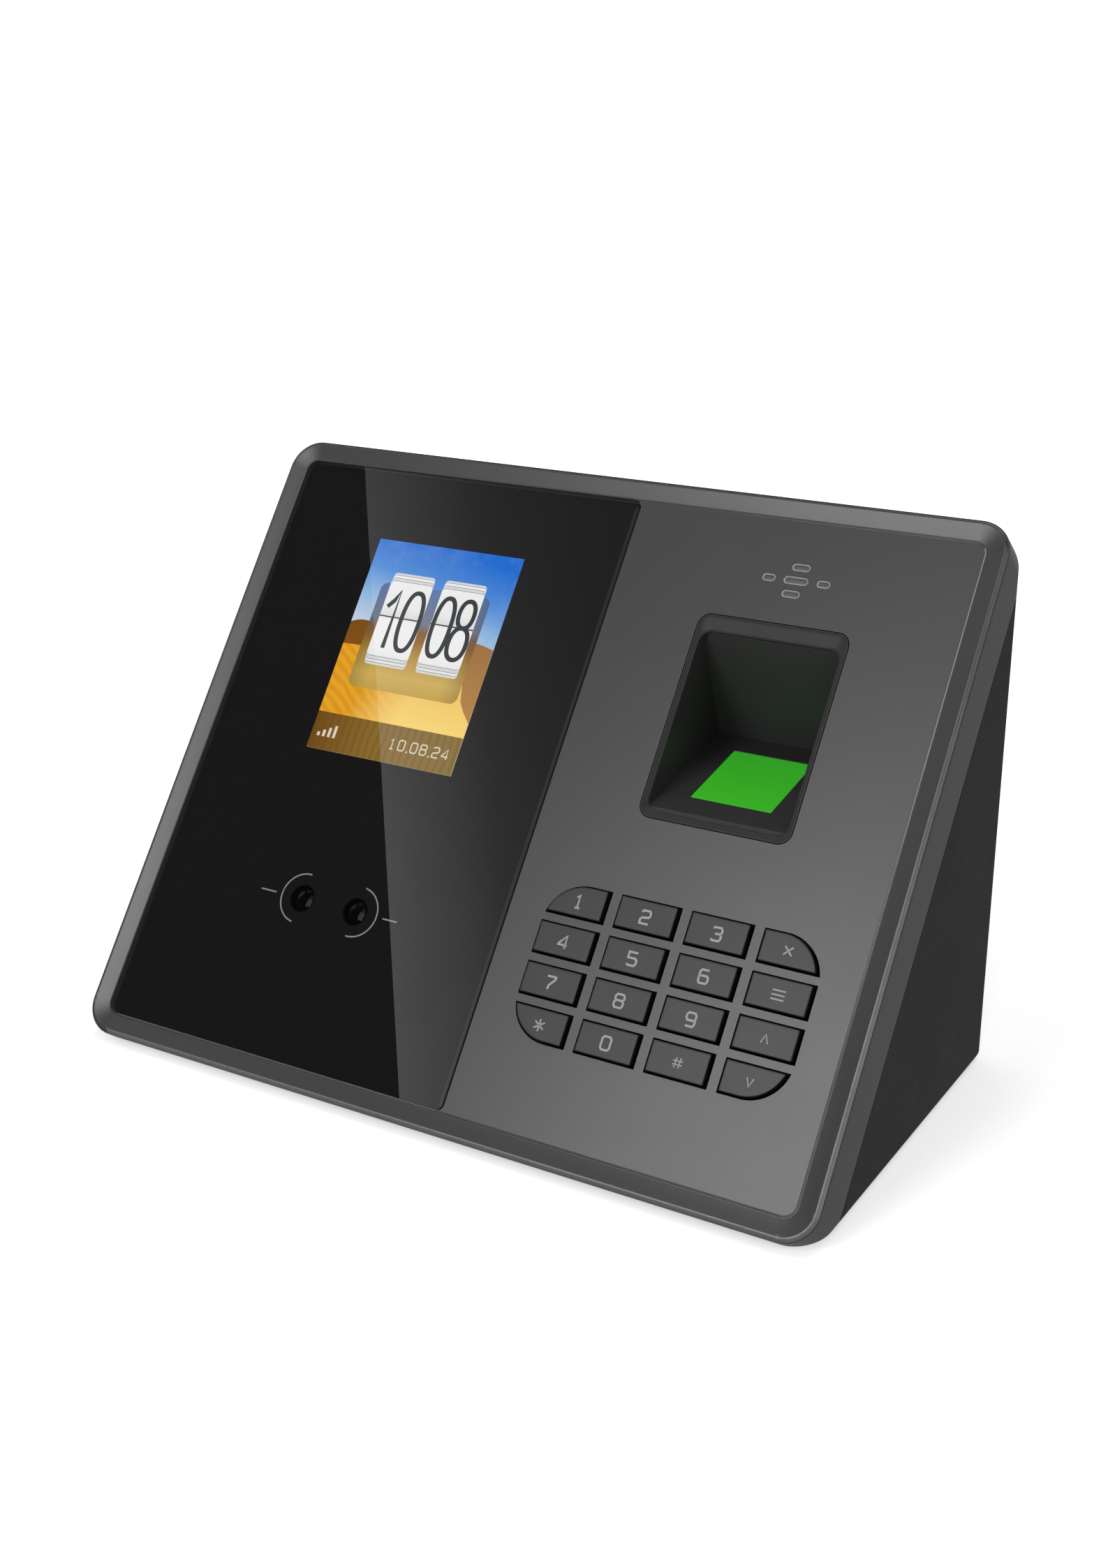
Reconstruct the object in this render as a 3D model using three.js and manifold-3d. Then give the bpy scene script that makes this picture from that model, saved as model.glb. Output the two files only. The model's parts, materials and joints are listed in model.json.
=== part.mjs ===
// Face-and-fingerprint access terminal: a wedge-shaped desk or wall unit with a leaning
// control panel. Millimetres, +Z up, the panel faces -Y, origin at the centre of the
// footprint, on the surface the rubber feet stand on.
//
// The panel has its own frame, centred on its flat inner field: U (right), V (up the
// panel) and N (out of the panel). The standing frame is the plain X, Y, Z.
import * as THREE from "three";
import { mergeVertices } from "three/addons/utils/BufferGeometryUtils.js";
import Module from "manifold-3d";

const kernel = await Module();
kernel.setup();

// ---------------------------------------------------------------- driving dimensions
const GAP = 0.3; // clearance between neighbouring pieces
const WINDOW_GAP = 0.4; // clearance around parts seen through a window
const FAR = 150; // bound well clear of the case, for cutting blocks
const TILT = 37; // the panel leans back from the vertical by this many degrees
const FOOT_STANDOUT = 1.0;
const PANEL_Y = -1.975;
const PANEL_Z = 67.23 + FOOT_STANDOUT;

// Case
const HALF_WIDTH = 98.75;
const FACE = { v0: -82.23, v1: 82.2, radius: 8 };
const FIELD = { halfU: 93.24, halfV: 76.75, radius: 3 }; // flat inner field
const CREST_N = 0.8; // the sloping border rises to this height near its outer edge
const CREST_STEPS = [
  // [inset from the side, drop below the crest], rounding the outer edge
  [0, 0.75],
  [0.2, 0.22],
  [0.65, 0],
];
const WALL = 2.5;
const SKIN = 3.0; // thickness of the panel
const UNDER_SKIN = -SKIN - GAP; // N of parts that sit just under the panel
const POST_TOP = -2; // posts run into the skin up to this N
const PARTING_N = -12.6; // the cover ends here, and the rear housing starts
const BASE_Z = FOOT_STANDOUT;
const BACK_Y = PANEL_Y + 53.28;
const HEEL_R = 5; // bottom rear edge
const BACK_R = 1.2; // upright rear edges
const BASE_R = 2; // bottom side edges
const RIB_ROOT = 1.5; // ribs start this deep in the housing wall
const BACK_CUT = [BACK_Y - 8, BACK_Y + 5]; // Y range that cuts through the back

// Front glass, a portrait display, two cameras and an infrared lamp
const GLASS = { u1: 6.4, thickness: 1.2, cornerR: 1.8 };
const LCD = { u: -42.4, v0: -7.3, v1: 61.9, width: 50, n0: -4.4, n1: -1.8 };
const CAMERAS = { left: -49.4, right: -33.7 }; // U of each
const CAMERA_V = -37.3;
const LENS_R = 3.4;
const BARREL_R = 4.4;
const LAMP_WINDOW = roundRect(-72, -44, -66, -54, 2, 3);

// Speaker
const SPEAKER = { u: 51.4, v: 61.9 };
const SLOTS = [
  // [U centre, V centre, width, height]
  [51.4, 61.9, 6.3, 2.1],
  [51.75, 65.25, 4.7, 2.0],
  [51.1, 58.5, 4.7, 2.0],
  [44.6, 61.9, 3.5, 2.0],
  [58.25, 61.9, 3.5, 2.0],
];

// Finger guide: rim, mouth, and the side profile of the well as [V, N] points
const RIM = { u0: 30.9, u1: 68.4, v0: 0.3, v1: 50.75, radius: 3 };
const MOUTH = { u0: 32.0, u1: 66.9, v0: 2.2, v1: 45.9, radius: 2 };
const WELL_TOP = [45.9, -1.7];
const WELL_DEEP = [30.9, -26.7];
const WELL_LIP = [2.2, -0.4];
const WELL_WALL = 1.8;
const PLATEN = { u: 49.4, v: 17.0, width: 20, length: 23.2, thickness: 1.8 };

// Keypad, four by four
const KEY_U = [23.4, 41.1, 58.8, 76.5];
const KEY_V = [-22.55, -32.35, -42.15, -51.95];
const KEY_CENTRES = grid(KEY_U, KEY_V);
const KEY_HOLE = { width: 15.4, height: 8.0 };
const KEY_GAP_U = 0.7;
const KEY_GAP_V = 0.45;
const KEY_BLOCK_R = 10; // outer corners of the block of keys
const KEY_STANDOUT = 1.1;
const KEY_TRAVEL = 1.0;
const KEY_NAMES = [
  ["key_1", "key_2", "key_3", "key_cancel"],
  ["key_4", "key_5", "key_6", "key_menu"],
  ["key_7", "key_8", "key_9", "key_up"],
  ["key_star", "key_0", "key_hash", "key_down"],
];
const KEY_PEGS = grid([12.4, 86.6], [-25, -50]);

// Main board, and the [U, V] of its posts
const PCB_T = 1.6;
const MAIN_PCB = { u0: -85, u1: 8, v0: -60, v1: 45, n: -16 };
const PCB_POSTS = [
  [-80, -55],
  [4, -55],
  [-80, 40],
  [4, 40],
];

// Case screws: two from the back along Y, two from below along Z
const SCREW_X = 92.4;
const BACK_SCREW_Z = 106;
const BASE_SCREW_Y = -26;
const SCREW_BOSS = { radius: 4.5, depth: 4.5 };
const SCREW_SINK = 1.95; // the head seats this far inside the case surface

// Wall plate on the back
const PLATE = { width: 100, z0: 46, z1: 106, thickness: 1.5, proud: 0.5, radius: 4 };
const HOOK_X = [-28, 28];

// Feet
const FOOT_X = { left: -78, right: 78 };
const FOOT_Y = { front: -23, rear: 37 };
const FOOT_R = 6;

// Rear connectors, standing on a board whose top is at IO_TOP
const IO_TOP = 7.6;
const PORT_Z = IO_TOP + GAP;
const PORT_Y = BACK_Y - 0.2; // mouths of the connectors
const NETWORK = { x: -14, width: 16, height: 13.4, depth: 21 };
const USB = { x: 10.5, width: 14.4, height: 7.0, depth: 18 };
const POWER = { x: 31, width: 9, height: 11, depth: 14 };

// ---------------------------------------------------------------- materials
const finish = (options) => new THREE.MeshStandardMaterial(options);
const MATERIAL = {
  cover: finish({ color: 0x5b5d60, roughness: 0.42 }),
  housing: finish({ color: 0x2a2b2d, roughness: 0.55 }),
  glass: finish({ color: 0x0b0c0e, roughness: 0.05 }),
  lcd: finish({ color: 0x2b5fae, roughness: 0.3 }),
  steel: finish({ color: 0xb4b6b8, roughness: 0.35, metalness: 0.9 }),
  zinc: finish({ color: 0x9fa2a5, roughness: 0.3, metalness: 0.9 }),
  pcb: finish({ color: 0x14532d, roughness: 0.5 }),
  black: finish({ color: 0x141416, roughness: 0.5 }),
  lens: finish({ color: 0x10131c, roughness: 0.05 }),
  guide: finish({ color: 0x2c2e2f, roughness: 0.45 }),
  platen: finish({ color: 0x35b022, roughness: 0.2 }),
  prism: finish({ color: 0xbfe8c0, roughness: 0.05 }),
  key: finish({ color: 0x4a4c4f, roughness: 0.4 }),
  silicone: finish({ color: 0x8d9092, roughness: 0.8 }),
  rubber: finish({ color: 0x18181a, roughness: 0.9 }),
  battery: finish({ color: 0x2f4f8f, roughness: 0.5 }),
  foam: finish({ color: 0x202022, roughness: 0.95 }),
  cable: finish({ color: 0x303236, roughness: 0.6 }),
  ribbon: finish({ color: 0xb98532, roughness: 0.5 }),
};

// ---------------------------------------------------------------- frames
const PANEL_ROTATION = THREE.MathUtils.degToRad(90 - TILT);
const IDENTITY = new THREE.Matrix4();
const panelToStanding = new THREE.Matrix4()
  .makeTranslation(0, PANEL_Y, PANEL_Z)
  .multiply(new THREE.Matrix4().makeRotationX(PANEL_ROTATION));
const standingToPanel = panelToStanding.clone().invert();

// ---------------------------------------------------------------- outlines
function grid(columns, rows) {
  return columns.flatMap((x) => rows.map((y) => [x, y]));
}

// Rounded rectangle, anticlockwise. radius is one number, or four in the order
// [x1 y0, x1 y1, x0 y1, x0 y0].
function roundRect(x0, x1, y0, y1, radius, segments) {
  const radii = Array.isArray(radius) ? radius : [radius, radius, radius, radius];
  const corners = [
    // [x, y, start angle, x and y direction towards the inside]
    [x1, y0, -90, -1, 1],
    [x1, y1, 0, -1, -1],
    [x0, y1, 90, 1, -1],
    [x0, y0, 180, 1, 1],
  ];
  return corners.flatMap(([x, y, start, inX, inY], corner) => {
    const r = radii[corner];
    if (r < 1e-6) return [[x, y]];
    return Array.from({ length: segments + 1 }, (_, k) => {
      const angle = THREE.MathUtils.degToRad(start + (90 * k) / segments);
      return [x + inX * r + r * Math.cos(angle), y + inY * r + r * Math.sin(angle)];
    });
  });
}

function circle(x, y, radius, segments) {
  return Array.from({ length: segments }, (_, i) => {
    const angle = (2 * Math.PI * i) / segments;
    return [x + radius * Math.cos(angle), y + radius * Math.sin(angle)];
  });
}

const vectors = (points) => points.map(([x, y]) => new THREE.Vector2(x, y));

// ---------------------------------------------------------------- geometries
// Straight prism over an [x, y] outline, from z0 to z1.
function prism(points, z0, z1) {
  const geometry = new THREE.ExtrudeGeometry(new THREE.Shape(vectors(points)), {
    depth: z1 - z0,
    bevelEnabled: false,
  });
  return geometry.translate(0, 0, z0);
}

// Prism over a [y, z] outline, running along X.
function prismX(points, x0, x1) {
  const axes = new THREE.Matrix4().makeBasis(
    new THREE.Vector3(0, 1, 0),
    new THREE.Vector3(0, 0, 1),
    new THREE.Vector3(1, 0, 0),
  );
  return prism(points, x0, x1).applyMatrix4(axes);
}

// Prism over an [x, z] outline, running along Y.
function prismY(points, y0, y1) {
  return prism(points, -y1, -y0).rotateX(Math.PI / 2);
}

function block(x0, x1, y0, y1, z0, z1) {
  const geometry = new THREE.BoxGeometry(x1 - x0, y1 - y0, z1 - z0);
  return geometry.translate((x0 + x1) / 2, (y0 + y1) / 2, (z0 + z1) / 2);
}

// Stack of equal-count outlines [points, z], lowest first, joined into one closed solid.
function loft(levels) {
  const count = levels[0][0].length;
  const positions = levels.flatMap(([points, z]) => points.flatMap(([x, y]) => [x, y, z]));
  const indices = [];
  for (let level = 0; level + 1 < levels.length; level++)
    for (let i = 0; i < count; i++) {
      const low = level * count + i;
      const lowNext = level * count + ((i + 1) % count);
      const high = low + count;
      const highNext = lowNext + count;
      indices.push(low, lowNext, highNext, low, highNext, high);
    }
  const triangulate = ([points]) => THREE.ShapeUtils.triangulateShape(vectors(points), []);
  const top = (levels.length - 1) * count;
  triangulate(levels[0]).forEach(([a, b, c]) => indices.push(a, c, b));
  triangulate(levels.at(-1)).forEach(([a, b, c]) => indices.push(top + a, top + b, top + c));
  const geometry = new THREE.BufferGeometry();
  geometry.setAttribute("position", new THREE.Float32BufferAttribute(positions, 3));
  geometry.setIndex(indices);
  return geometry;
}

// Lathe about Z over [radius, z] points, ending on the axis or closed on themselves.
function lathe(profile, segments) {
  return new THREE.LatheGeometry(vectors(profile), segments).rotateX(Math.PI / 2);
}

// ---------------------------------------------------------------- solids
function solid(geometry, matrix = IDENTITY) {
  const loose = geometry.index ? geometry.toNonIndexed() : geometry.clone();
  const bare = new THREE.BufferGeometry();
  bare.setAttribute("position", loose.getAttribute("position"));
  bare.applyMatrix4(matrix);
  const merged = mergeVertices(bare, 1e-4);
  return new kernel.Manifold(
    new kernel.Mesh({
      numProp: 3,
      vertProperties: merged.attributes.position.array,
      triVerts: new Uint32Array(merged.index.array),
    }),
  );
}

function geometryOf(body) {
  const mesh = body.getMesh();
  const geometry = new THREE.BufferGeometry();
  geometry.setAttribute("position", new THREE.Float32BufferAttribute(mesh.vertProperties, 3));
  geometry.setIndex(new THREE.Uint32BufferAttribute(mesh.triVerts, 1));
  geometry.computeVertexNormals();
  return geometry;
}

// Solid versions of the shapes above, each with an optional matrix
const bar = (points, z0, z1, matrix) => solid(prism(points, z0, z1), matrix);
const barX = (points, x0, x1, matrix) => solid(prismX(points, x0, x1), matrix);
const barY = (points, y0, y1, matrix) => solid(prismY(points, y0, y1), matrix);
const box = (x0, x1, y0, y1, z0, z1, matrix) => solid(block(x0, x1, y0, y1, z0, z1), matrix);

const cut = (body, ...tools) => tools.reduce((rest, tool) => rest.subtract(tool), body);
const join = (body, ...more) => more.reduce((sum, part) => sum.add(part), body);

// ---------------------------------------------------------------- groups
const terminal = new THREE.Group();
const panel = new THREE.Group(); // everything square to the control panel
panel.position.set(0, PANEL_Y, PANEL_Z);
panel.rotation.x = PANEL_ROTATION;
terminal.add(panel);

function add(group, name, shape, material, x = 0, y = 0, z = 0) {
  const mesh = new THREE.Mesh(shape.isBufferGeometry ? shape : geometryOf(shape), material);
  mesh.name = name;
  mesh.position.set(x, y, z);
  group.add(mesh);
  return mesh;
}

// ---------------------------------------------------------------- shapes both halves use
// The whole case: inset 0 is the outside, WALL is the cavity. fromPanel and fromStanding
// place shapes drawn in those frames. The widest bounds only need to clear the case.
function envelope(fromPanel, fromStanding, inset) {
  const side = HALF_WIDTH - inset;
  const back = BACK_Y - inset;
  const base = BASE_Z + inset;
  const backR = BACK_R - inset / 4;
  const baseR = BASE_R - inset / 4;
  const { halfU, halfV, radius } = FIELD;
  const outline = (step) =>
    roundRect(
      -side + step,
      side - step,
      FACE.v0 + inset + step,
      FACE.v1 - inset - step,
      FACE.radius - inset - step,
      8,
    );
  const upperLevels =
    inset > 0
      ? [[outline(0), -SKIN]]
      : [
          ...CREST_STEPS.map(([step, drop]) => [outline(step), CREST_N - drop]),
          [roundRect(-halfU, halfU, -halfV, halfV, radius, 8), 0],
        ];
  const sideView = roundRect(-160, back, base, 260, [HEEL_R - inset / 2, 0, 0, 0], 8);
  const topView = roundRect(-side, side, -300, back, [0, backR, backR, 0], 4);
  const frontView = roundRect(-side, side, base, 400, [baseR, 0, 0, baseR], 4);
  return solid(loft([[outline(0), -120], ...upperLevels]), fromPanel)
    .intersect(barX(sideView, -FAR, FAR, fromStanding))
    .intersect(bar(topView, -50, 300, fromStanding))
    .intersect(barY(frontView, -300, 300, fromStanding));
}

// Round bars on the axes of all four case screws, between two depths below the surface.
function screwBars(radius, segments, shallow, deep, matrix) {
  return [-SCREW_X, SCREW_X].flatMap((x) => [
    barY(circle(x, BACK_SCREW_Z, radius, segments), BACK_Y - deep, BACK_Y - shallow, matrix),
    bar(circle(x, BASE_SCREW_Y, radius, segments), BASE_Z + shallow, BASE_Z + deep, matrix),
  ]);
}

// Outline round all the keys, grown outwards and measured from the point (u, v).
function keyBlock(growU = 0, growV = 0, u = 0, v = 0) {
  const reachU = KEY_HOLE.width / 2 + growU;
  const reachV = KEY_HOLE.height / 2 + growV;
  return roundRect(
    KEY_U[0] - reachU - u,
    KEY_U[3] + reachU - u,
    KEY_V[3] - reachV - v,
    KEY_V[0] + reachV - v,
    KEY_BLOCK_R + (growU + growV) / 2,
    10,
  );
}

// ---------------------------------------------------------------- front cover
// Posts for the main board and the case screws, and pegs that hold the keypad board.
function coverPosts() {
  const behindSkin = box(-FAR, FAR, -FAR, FAR, -200, POST_TOP);
  return [
    ...PCB_POSTS.map(([u, v]) => bar(circle(u, v, 2.8, 16), MAIN_PCB.n + GAP, POST_TOP)),
    ...screwBars(3.4, 16, SCREW_BOSS.depth + GAP, 60, standingToPanel).map((post) =>
      post.intersect(behindSkin),
    ),
    ...KEY_PEGS.map(([u, v]) => bar(circle(u, v, 1.1, 10), -9.6, POST_TOP)),
  ];
}

function pilotHoles() {
  return [
    ...PCB_POSTS.map(([u, v]) => bar(circle(u, v, 1.3, 12), MAIN_PCB.n - 1, -8)),
    ...screwBars(1.65, 12, 0, 14, standingToPanel),
  ];
}

function panelOpenings() {
  const throughSkin = (points) => bar(points, -5, 1);
  const { halfU, halfV, radius } = FIELD;
  const pocket = roundRect(-halfU, GLASS.u1 + GAP, -halfV, halfV, [2, 2, radius, radius], 6);
  const lcdReach = LCD.width / 2 + WINDOW_GAP;
  const guideOpening = roundRect(
    RIM.u0 - GAP,
    RIM.u1 + GAP,
    RIM.v0 - GAP,
    RIM.v1 + GAP,
    RIM.radius + GAP,
    6,
  );
  const soundSlot = ([u, v, width, height]) =>
    roundRect(
      u - width / 2,
      u + width / 2,
      v - height / 2,
      v + height / 2,
      height / 2 - 1e-3,
      5,
    );
  const halfW = KEY_HOLE.width / 2;
  const halfH = KEY_HOLE.height / 2;
  const keyHoles = KEY_CENTRES.map(([u, v]) =>
    box(u - halfW, u + halfW, v - halfH, v + halfH, -5, 1),
  );
  return [
    bar(pocket, -GLASS.thickness - GAP, 5),
    box(
      LCD.u - lcdReach,
      LCD.u + lcdReach,
      LCD.v0 - WINDOW_GAP,
      LCD.v1 + WINDOW_GAP,
      -5,
      1,
    ),
    throughSkin(LAMP_WINDOW),
    ...Object.values(CAMERAS).map((u) =>
      throughSkin(circle(u, CAMERA_V, BARREL_R + WINDOW_GAP, 24)),
    ),
    ...SLOTS.map((slot) => throughSkin(soundSlot(slot))),
    throughSkin(guideOpening),
    join(...keyHoles).intersect(bar(keyBlock(), -6, 2)),
  ];
}

function frontCover() {
  const shell = envelope(IDENTITY, standingToPanel, 0)
    .intersect(box(-FAR, FAR, -FAR, FAR, PARTING_N, 20))
    .subtract(envelope(IDENTITY, standingToPanel, WALL));
  return cut(join(shell, ...coverPosts()), ...pilotHoles(), ...panelOpenings());
}
add(panel, "front_cover", frontCover(), MATERIAL.cover);

// ---------------------------------------------------------------- rear housing
// Lips inside the cover's side walls, each a tongue with a foot that meets the wall.
function registerLips() {
  const tongueOuter = HALF_WIDTH - WALL - GAP;
  const tongueInner = tongueOuter - 1.2;
  const footOuter = HALF_WIDTH - WALL + 0.8;
  const sideBlock = (side, outer, top) => {
    const [x0, x1] = side < 0 ? [-outer, -tongueInner] : [tongueInner, outer];
    return box(x0, x1, -44, 44, -15, top, panelToStanding);
  };
  return [-1, 1].flatMap((side) => [
    sideBlock(side, tongueOuter, PARTING_N + 2),
    sideBlock(side, footOuter, PARTING_N - 0.6),
  ]);
}

function housingRibs() {
  const root = BASE_Z + RIB_ROOT;
  const railTop = IO_TOP - PCB_T - GAP;
  const fieldX = PLATE.width / 2 + 3;
  return [
    // Thicker field behind the wall plate
    box(-fieldX, fieldX, BACK_Y - 4, BACK_Y - RIB_ROOT, PLATE.z0 - 3, PLATE.z1 + 3),
    // Rails for the connector board
    box(-33, 46, 14, 17, root, railTop),
    box(-33, 46, 36, 39, root, railTop),
    // Cradle walls of the battery
    box(-90, -88.4, 8, 38, root, 12),
    box(-37.6, -36, 8, 38, root, 12),
  ];
}

function housingOpenings() {
  const throughBack = (points) => barY(points, ...BACK_CUT);
  const plateX = PLATE.width / 2 + GAP;
  const plateRecess = roundRect(
    -plateX,
    plateX,
    PLATE.z0 - GAP,
    PLATE.z1 + GAP,
    PLATE.radius + GAP,
    5,
  );
  const portWindow = ({ x, width, height }) =>
    box(
      x - width / 2 - WINDOW_GAP,
      x + width / 2 + WINDOW_GAP,
      ...BACK_CUT,
      PORT_Z - WINDOW_GAP,
      PORT_Z + height + WINDOW_GAP,
    );
  // Five vent slots on each side of the back, as [x centre, bottom z]
  const vents = grid([-74, 74], [60, 66, 72, 78, 84]);
  return [
    // Head recesses and clearance holes of the case screws
    ...screwBars(3.2, 20, -5, 2.1),
    ...screwBars(1.8, 14, -5, 8),
    // Foot recesses
    ...grid(Object.values(FOOT_X), Object.values(FOOT_Y)).map(([x, y]) =>
      bar(circle(x, y, FOOT_R + GAP, 28), BASE_Z - 5, BASE_Z + 1),
    ),
    barY(plateRecess, BACK_Y - (PLATE.thickness - PLATE.proud) - GAP, BACK_Y + 5),
    ...HOOK_X.map((x) => box(x - 5, x + 5, ...BACK_CUT, 94, 100)),
    // Cable outlet behind the wall plate's own opening
    throughBack(roundRect(-14, 14, 66, 86, 3, 4)),
    ...[NETWORK, USB, POWER].map(portWindow),
    ...vents.map(([x, z]) => throughBack(roundRect(x - 11, x + 11, z, z + 2, 0.99, 3))),
  ];
}

function rearHousing() {
  const shell = envelope(panelToStanding, IDENTITY, 0)
    .intersect(box(-FAR, FAR, -FAR, FAR, -FAR, PARTING_N - GAP, panelToStanding))
    .subtract(envelope(panelToStanding, IDENTITY, WALL));
  const bosses = screwBars(SCREW_BOSS.radius, 16, 1, SCREW_BOSS.depth);
  return cut(join(shell, ...registerLips(), ...bosses, ...housingRibs()), ...housingOpenings());
}
add(terminal, "rear_housing", rearHousing(), MATERIAL.housing);

// ---------------------------------------------------------------- front glass and display
function displayGlass() {
  const fieldR = FIELD.radius - 0.2;
  const outline = roundRect(
    -FIELD.halfU + GAP,
    GLASS.u1,
    -FIELD.halfV + GAP,
    FIELD.halfV - GAP,
    [GLASS.cornerR, GLASS.cornerR, fieldR, fieldR],
    6,
  );
  return prism(outline, -GLASS.thickness, 0);
}
add(panel, "display_glass", displayGlass(), MATERIAL.glass);

function lcdModule() {
  const half = LCD.width / 2;
  return prism(roundRect(LCD.u - half, LCD.u + half, LCD.v0, LCD.v1, 0.8, 2), LCD.n0, LCD.n1);
}
add(panel, "lcd_module", lcdModule(), MATERIAL.lcd);

// Open frame behind the display module.
function lcdBracket() {
  const top = LCD.n0 - GAP;
  const bottom = top - 1.0;
  return cut(
    bar(roundRect(-71, -14, -5.5, 65.5, 2, 3), bottom, top),
    box(-62, -23, 4, 56, bottom - 1, top + 1),
  );
}
add(panel, "lcd_bracket", lcdBracket(), MATERIAL.steel);

// ---------------------------------------------------------------- cameras and infrared lamp
// Barrel with a shallow seat for the lens in its front end.
function cameraBarrel() {
  const seatR = LENS_R + 0.25;
  const profile = [
    [0, -12.6],
    [BARREL_R, -12.6],
    [BARREL_R, -1.7],
    [seatR, -1.7],
    [seatR, -3.6],
    [0, -3.6],
  ];
  return lathe(profile, 28);
}

// Short cylinder with a domed front.
function cameraLens() {
  const bottom = -3.3;
  const shoulder = -2.6;
  const rise = 0.9;
  const steps = 4;
  const profile = [
    [0, bottom],
    [LENS_R, bottom],
    [LENS_R, shoulder],
  ];
  for (let k = 1; k < steps; k++) {
    const angle = ((k / steps) * Math.PI) / 2;
    profile.push([LENS_R * Math.cos(angle), shoulder + rise * Math.sin(angle)]);
  }
  profile.push([0, shoulder + rise]);
  return lathe(profile, 22);
}

for (const [side, u] of Object.entries(CAMERAS)) {
  add(panel, `camera_barrel_${side}`, cameraBarrel(), MATERIAL.black, u, CAMERA_V);
  add(panel, `camera_lens_${side}`, cameraLens(), MATERIAL.lens, u, CAMERA_V);
}
add(panel, "camera_board", block(-60, -23.5, -47, -28, -14.5, -12.9), MATERIAL.pcb);

// Board with two rows of four lamps.
function lampBoard() {
  const lamps = grid([-67, -60.67, -54.33, -48], [-62.5, -57.5]);
  return join(
    box(-74, -42, -67.5, -52.5, -6.6, -5),
    ...lamps.map(([u, v]) => bar(circle(u, v, 1.5, 12), -5.5, -2.4)),
  );
}
add(panel, "ir_lamp_board", lampBoard(), MATERIAL.pcb);

// ---------------------------------------------------------------- speaker
// Profiles as [radius, N]
const GASKET_PROFILE = [
  [7.6, -4.3],
  [9, -4.3],
  [9, -3.3],
  [7.6, -3.3],
  [7.6, -4.3],
];
const SPEAKER_PROFILE = [
  [0, -8.8],
  [5.8, -8.8],
  [5.8, -7.0],
  [9, -6.6],
  [9, -4.6],
  [7.4, -4.6],
  [3.0, -5.9],
  [0, -5.5],
];
for (const [name, profile, material] of [
  ["speaker_gasket", GASKET_PROFILE, MATERIAL.foam],
  ["speaker", SPEAKER_PROFILE, MATERIAL.black],
])
  add(panel, name, lathe(profile, 28), material, SPEAKER.u, SPEAKER.v);

// ---------------------------------------------------------------- finger guide
// Points and directions here are [V, N] pairs.
const subtract = (a, b) => [a[0] - b[0], a[1] - b[1]];
const along = (point, dir, distance) => [
  point[0] + dir[0] * distance,
  point[1] + dir[1] * distance,
];
const cross = (a, b) => a[0] * b[1] - a[1] * b[0];
const unit = (dir) => {
  const length = Math.hypot(...dir);
  return [dir[0] / length, dir[1] / length];
};
// Where the line through a point reaches a given N
const atN = (point, dir, n) => [point[0] + (dir[0] * (n - point[1])) / dir[1], n];

const floorDir = unit(subtract(WELL_LIP, WELL_DEEP)); // from the deep corner to the lip
const backDir = unit(subtract(WELL_TOP, WELL_DEEP)); // from the deep corner up the back wall

// Deep corner of the well's outer surface, where the offset floor and back wall meet.
function outerCorner() {
  const floorOut = [-floorDir[1], floorDir[0]];
  const backOut = [backDir[1], -backDir[0]];
  const onFloor = along(WELL_DEEP, floorOut, WELL_WALL);
  const onBack = along(WELL_DEEP, backOut, WELL_WALL);
  const distance = cross(subtract(onBack, onFloor), backDir) / cross(floorDir, backDir);
  return along(onFloor, floorDir, distance);
}

// The sensor's frame: centred on the platen's window, Y down the floor of the well towards
// its deep end, Z square to the floor and into the well.
const sensorN =
  WELL_DEEP[1] + ((PLATEN.v - WELL_DEEP[0]) * floorDir[1]) / floorDir[0];
const floorAngle = Math.atan2(-floorDir[1], -floorDir[0]);
const sensorToPanel = new THREE.Matrix4()
  .makeTranslation(PLATEN.u, PLATEN.v, sensorN)
  .multiply(new THREE.Matrix4().makeRotationX(floorAngle));
const platenX = PLATEN.width / 2;
const platenY = PLATEN.length / 2;

// Rectangle of the rim, grown or shrunk all round.
const rimOutline = (grow, radius) =>
  roundRect(RIM.u0 - grow, RIM.u1 + grow, RIM.v0 - grow, RIM.v1 + grow, radius, 6);

function fingerGuide() {
  const corner = outerCorner();
  const bodyTop = -SKIN - 0.5;
  const body = barX(
    [atN(corner, floorDir, bodyTop), corner, atN(corner, backDir, bodyTop)],
    MOUTH.u0 - WELL_WALL,
    MOUTH.u1 + WELL_WALL,
  );
  const rim = bar(rimOutline(0, RIM.radius), UNDER_SKIN - 0.4, 0);
  const flange = bar(
    roundRect(RIM.u0 - 3, RIM.u1 + 3, RIM.v0 - 3, 52.3, 2, 3),
    UNDER_SKIN - 1.5,
    UNDER_SKIN,
  );
  const leadIn = solid(
    loft([
      [roundRect(MOUTH.u0, MOUTH.u1, MOUTH.v0, MOUTH.v1, MOUTH.radius, 6), -1.8],
      [rimOutline(-0.5, RIM.radius - 0.4), 0.05],
    ]),
  );
  const well = barX(
    [atN(WELL_DEEP, floorDir, -0.5), WELL_DEEP, atN(WELL_DEEP, backDir, -1.0)],
    MOUTH.u0,
    MOUTH.u1,
  );
  const windowX = platenX + GAP;
  const windowY = platenY + GAP;
  const platenWindow = box(-windowX, windowX, -windowY, windowY, -4, 4, sensorToPanel);
  return cut(join(body, rim, flange), leadIn, well, platenWindow);
}
add(panel, "finger_guide", fingerGuide(), MATERIAL.guide);

// ---------------------------------------------------------------- fingerprint sensor
const sensor = new THREE.Group(); // hangs under the floor of the well
sensor.position.set(PLATEN.u, PLATEN.v, sensorN);
sensor.rotation.x = floorAngle;
panel.add(sensor);
const underPlaten = -PLATEN.thickness - GAP;

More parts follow.
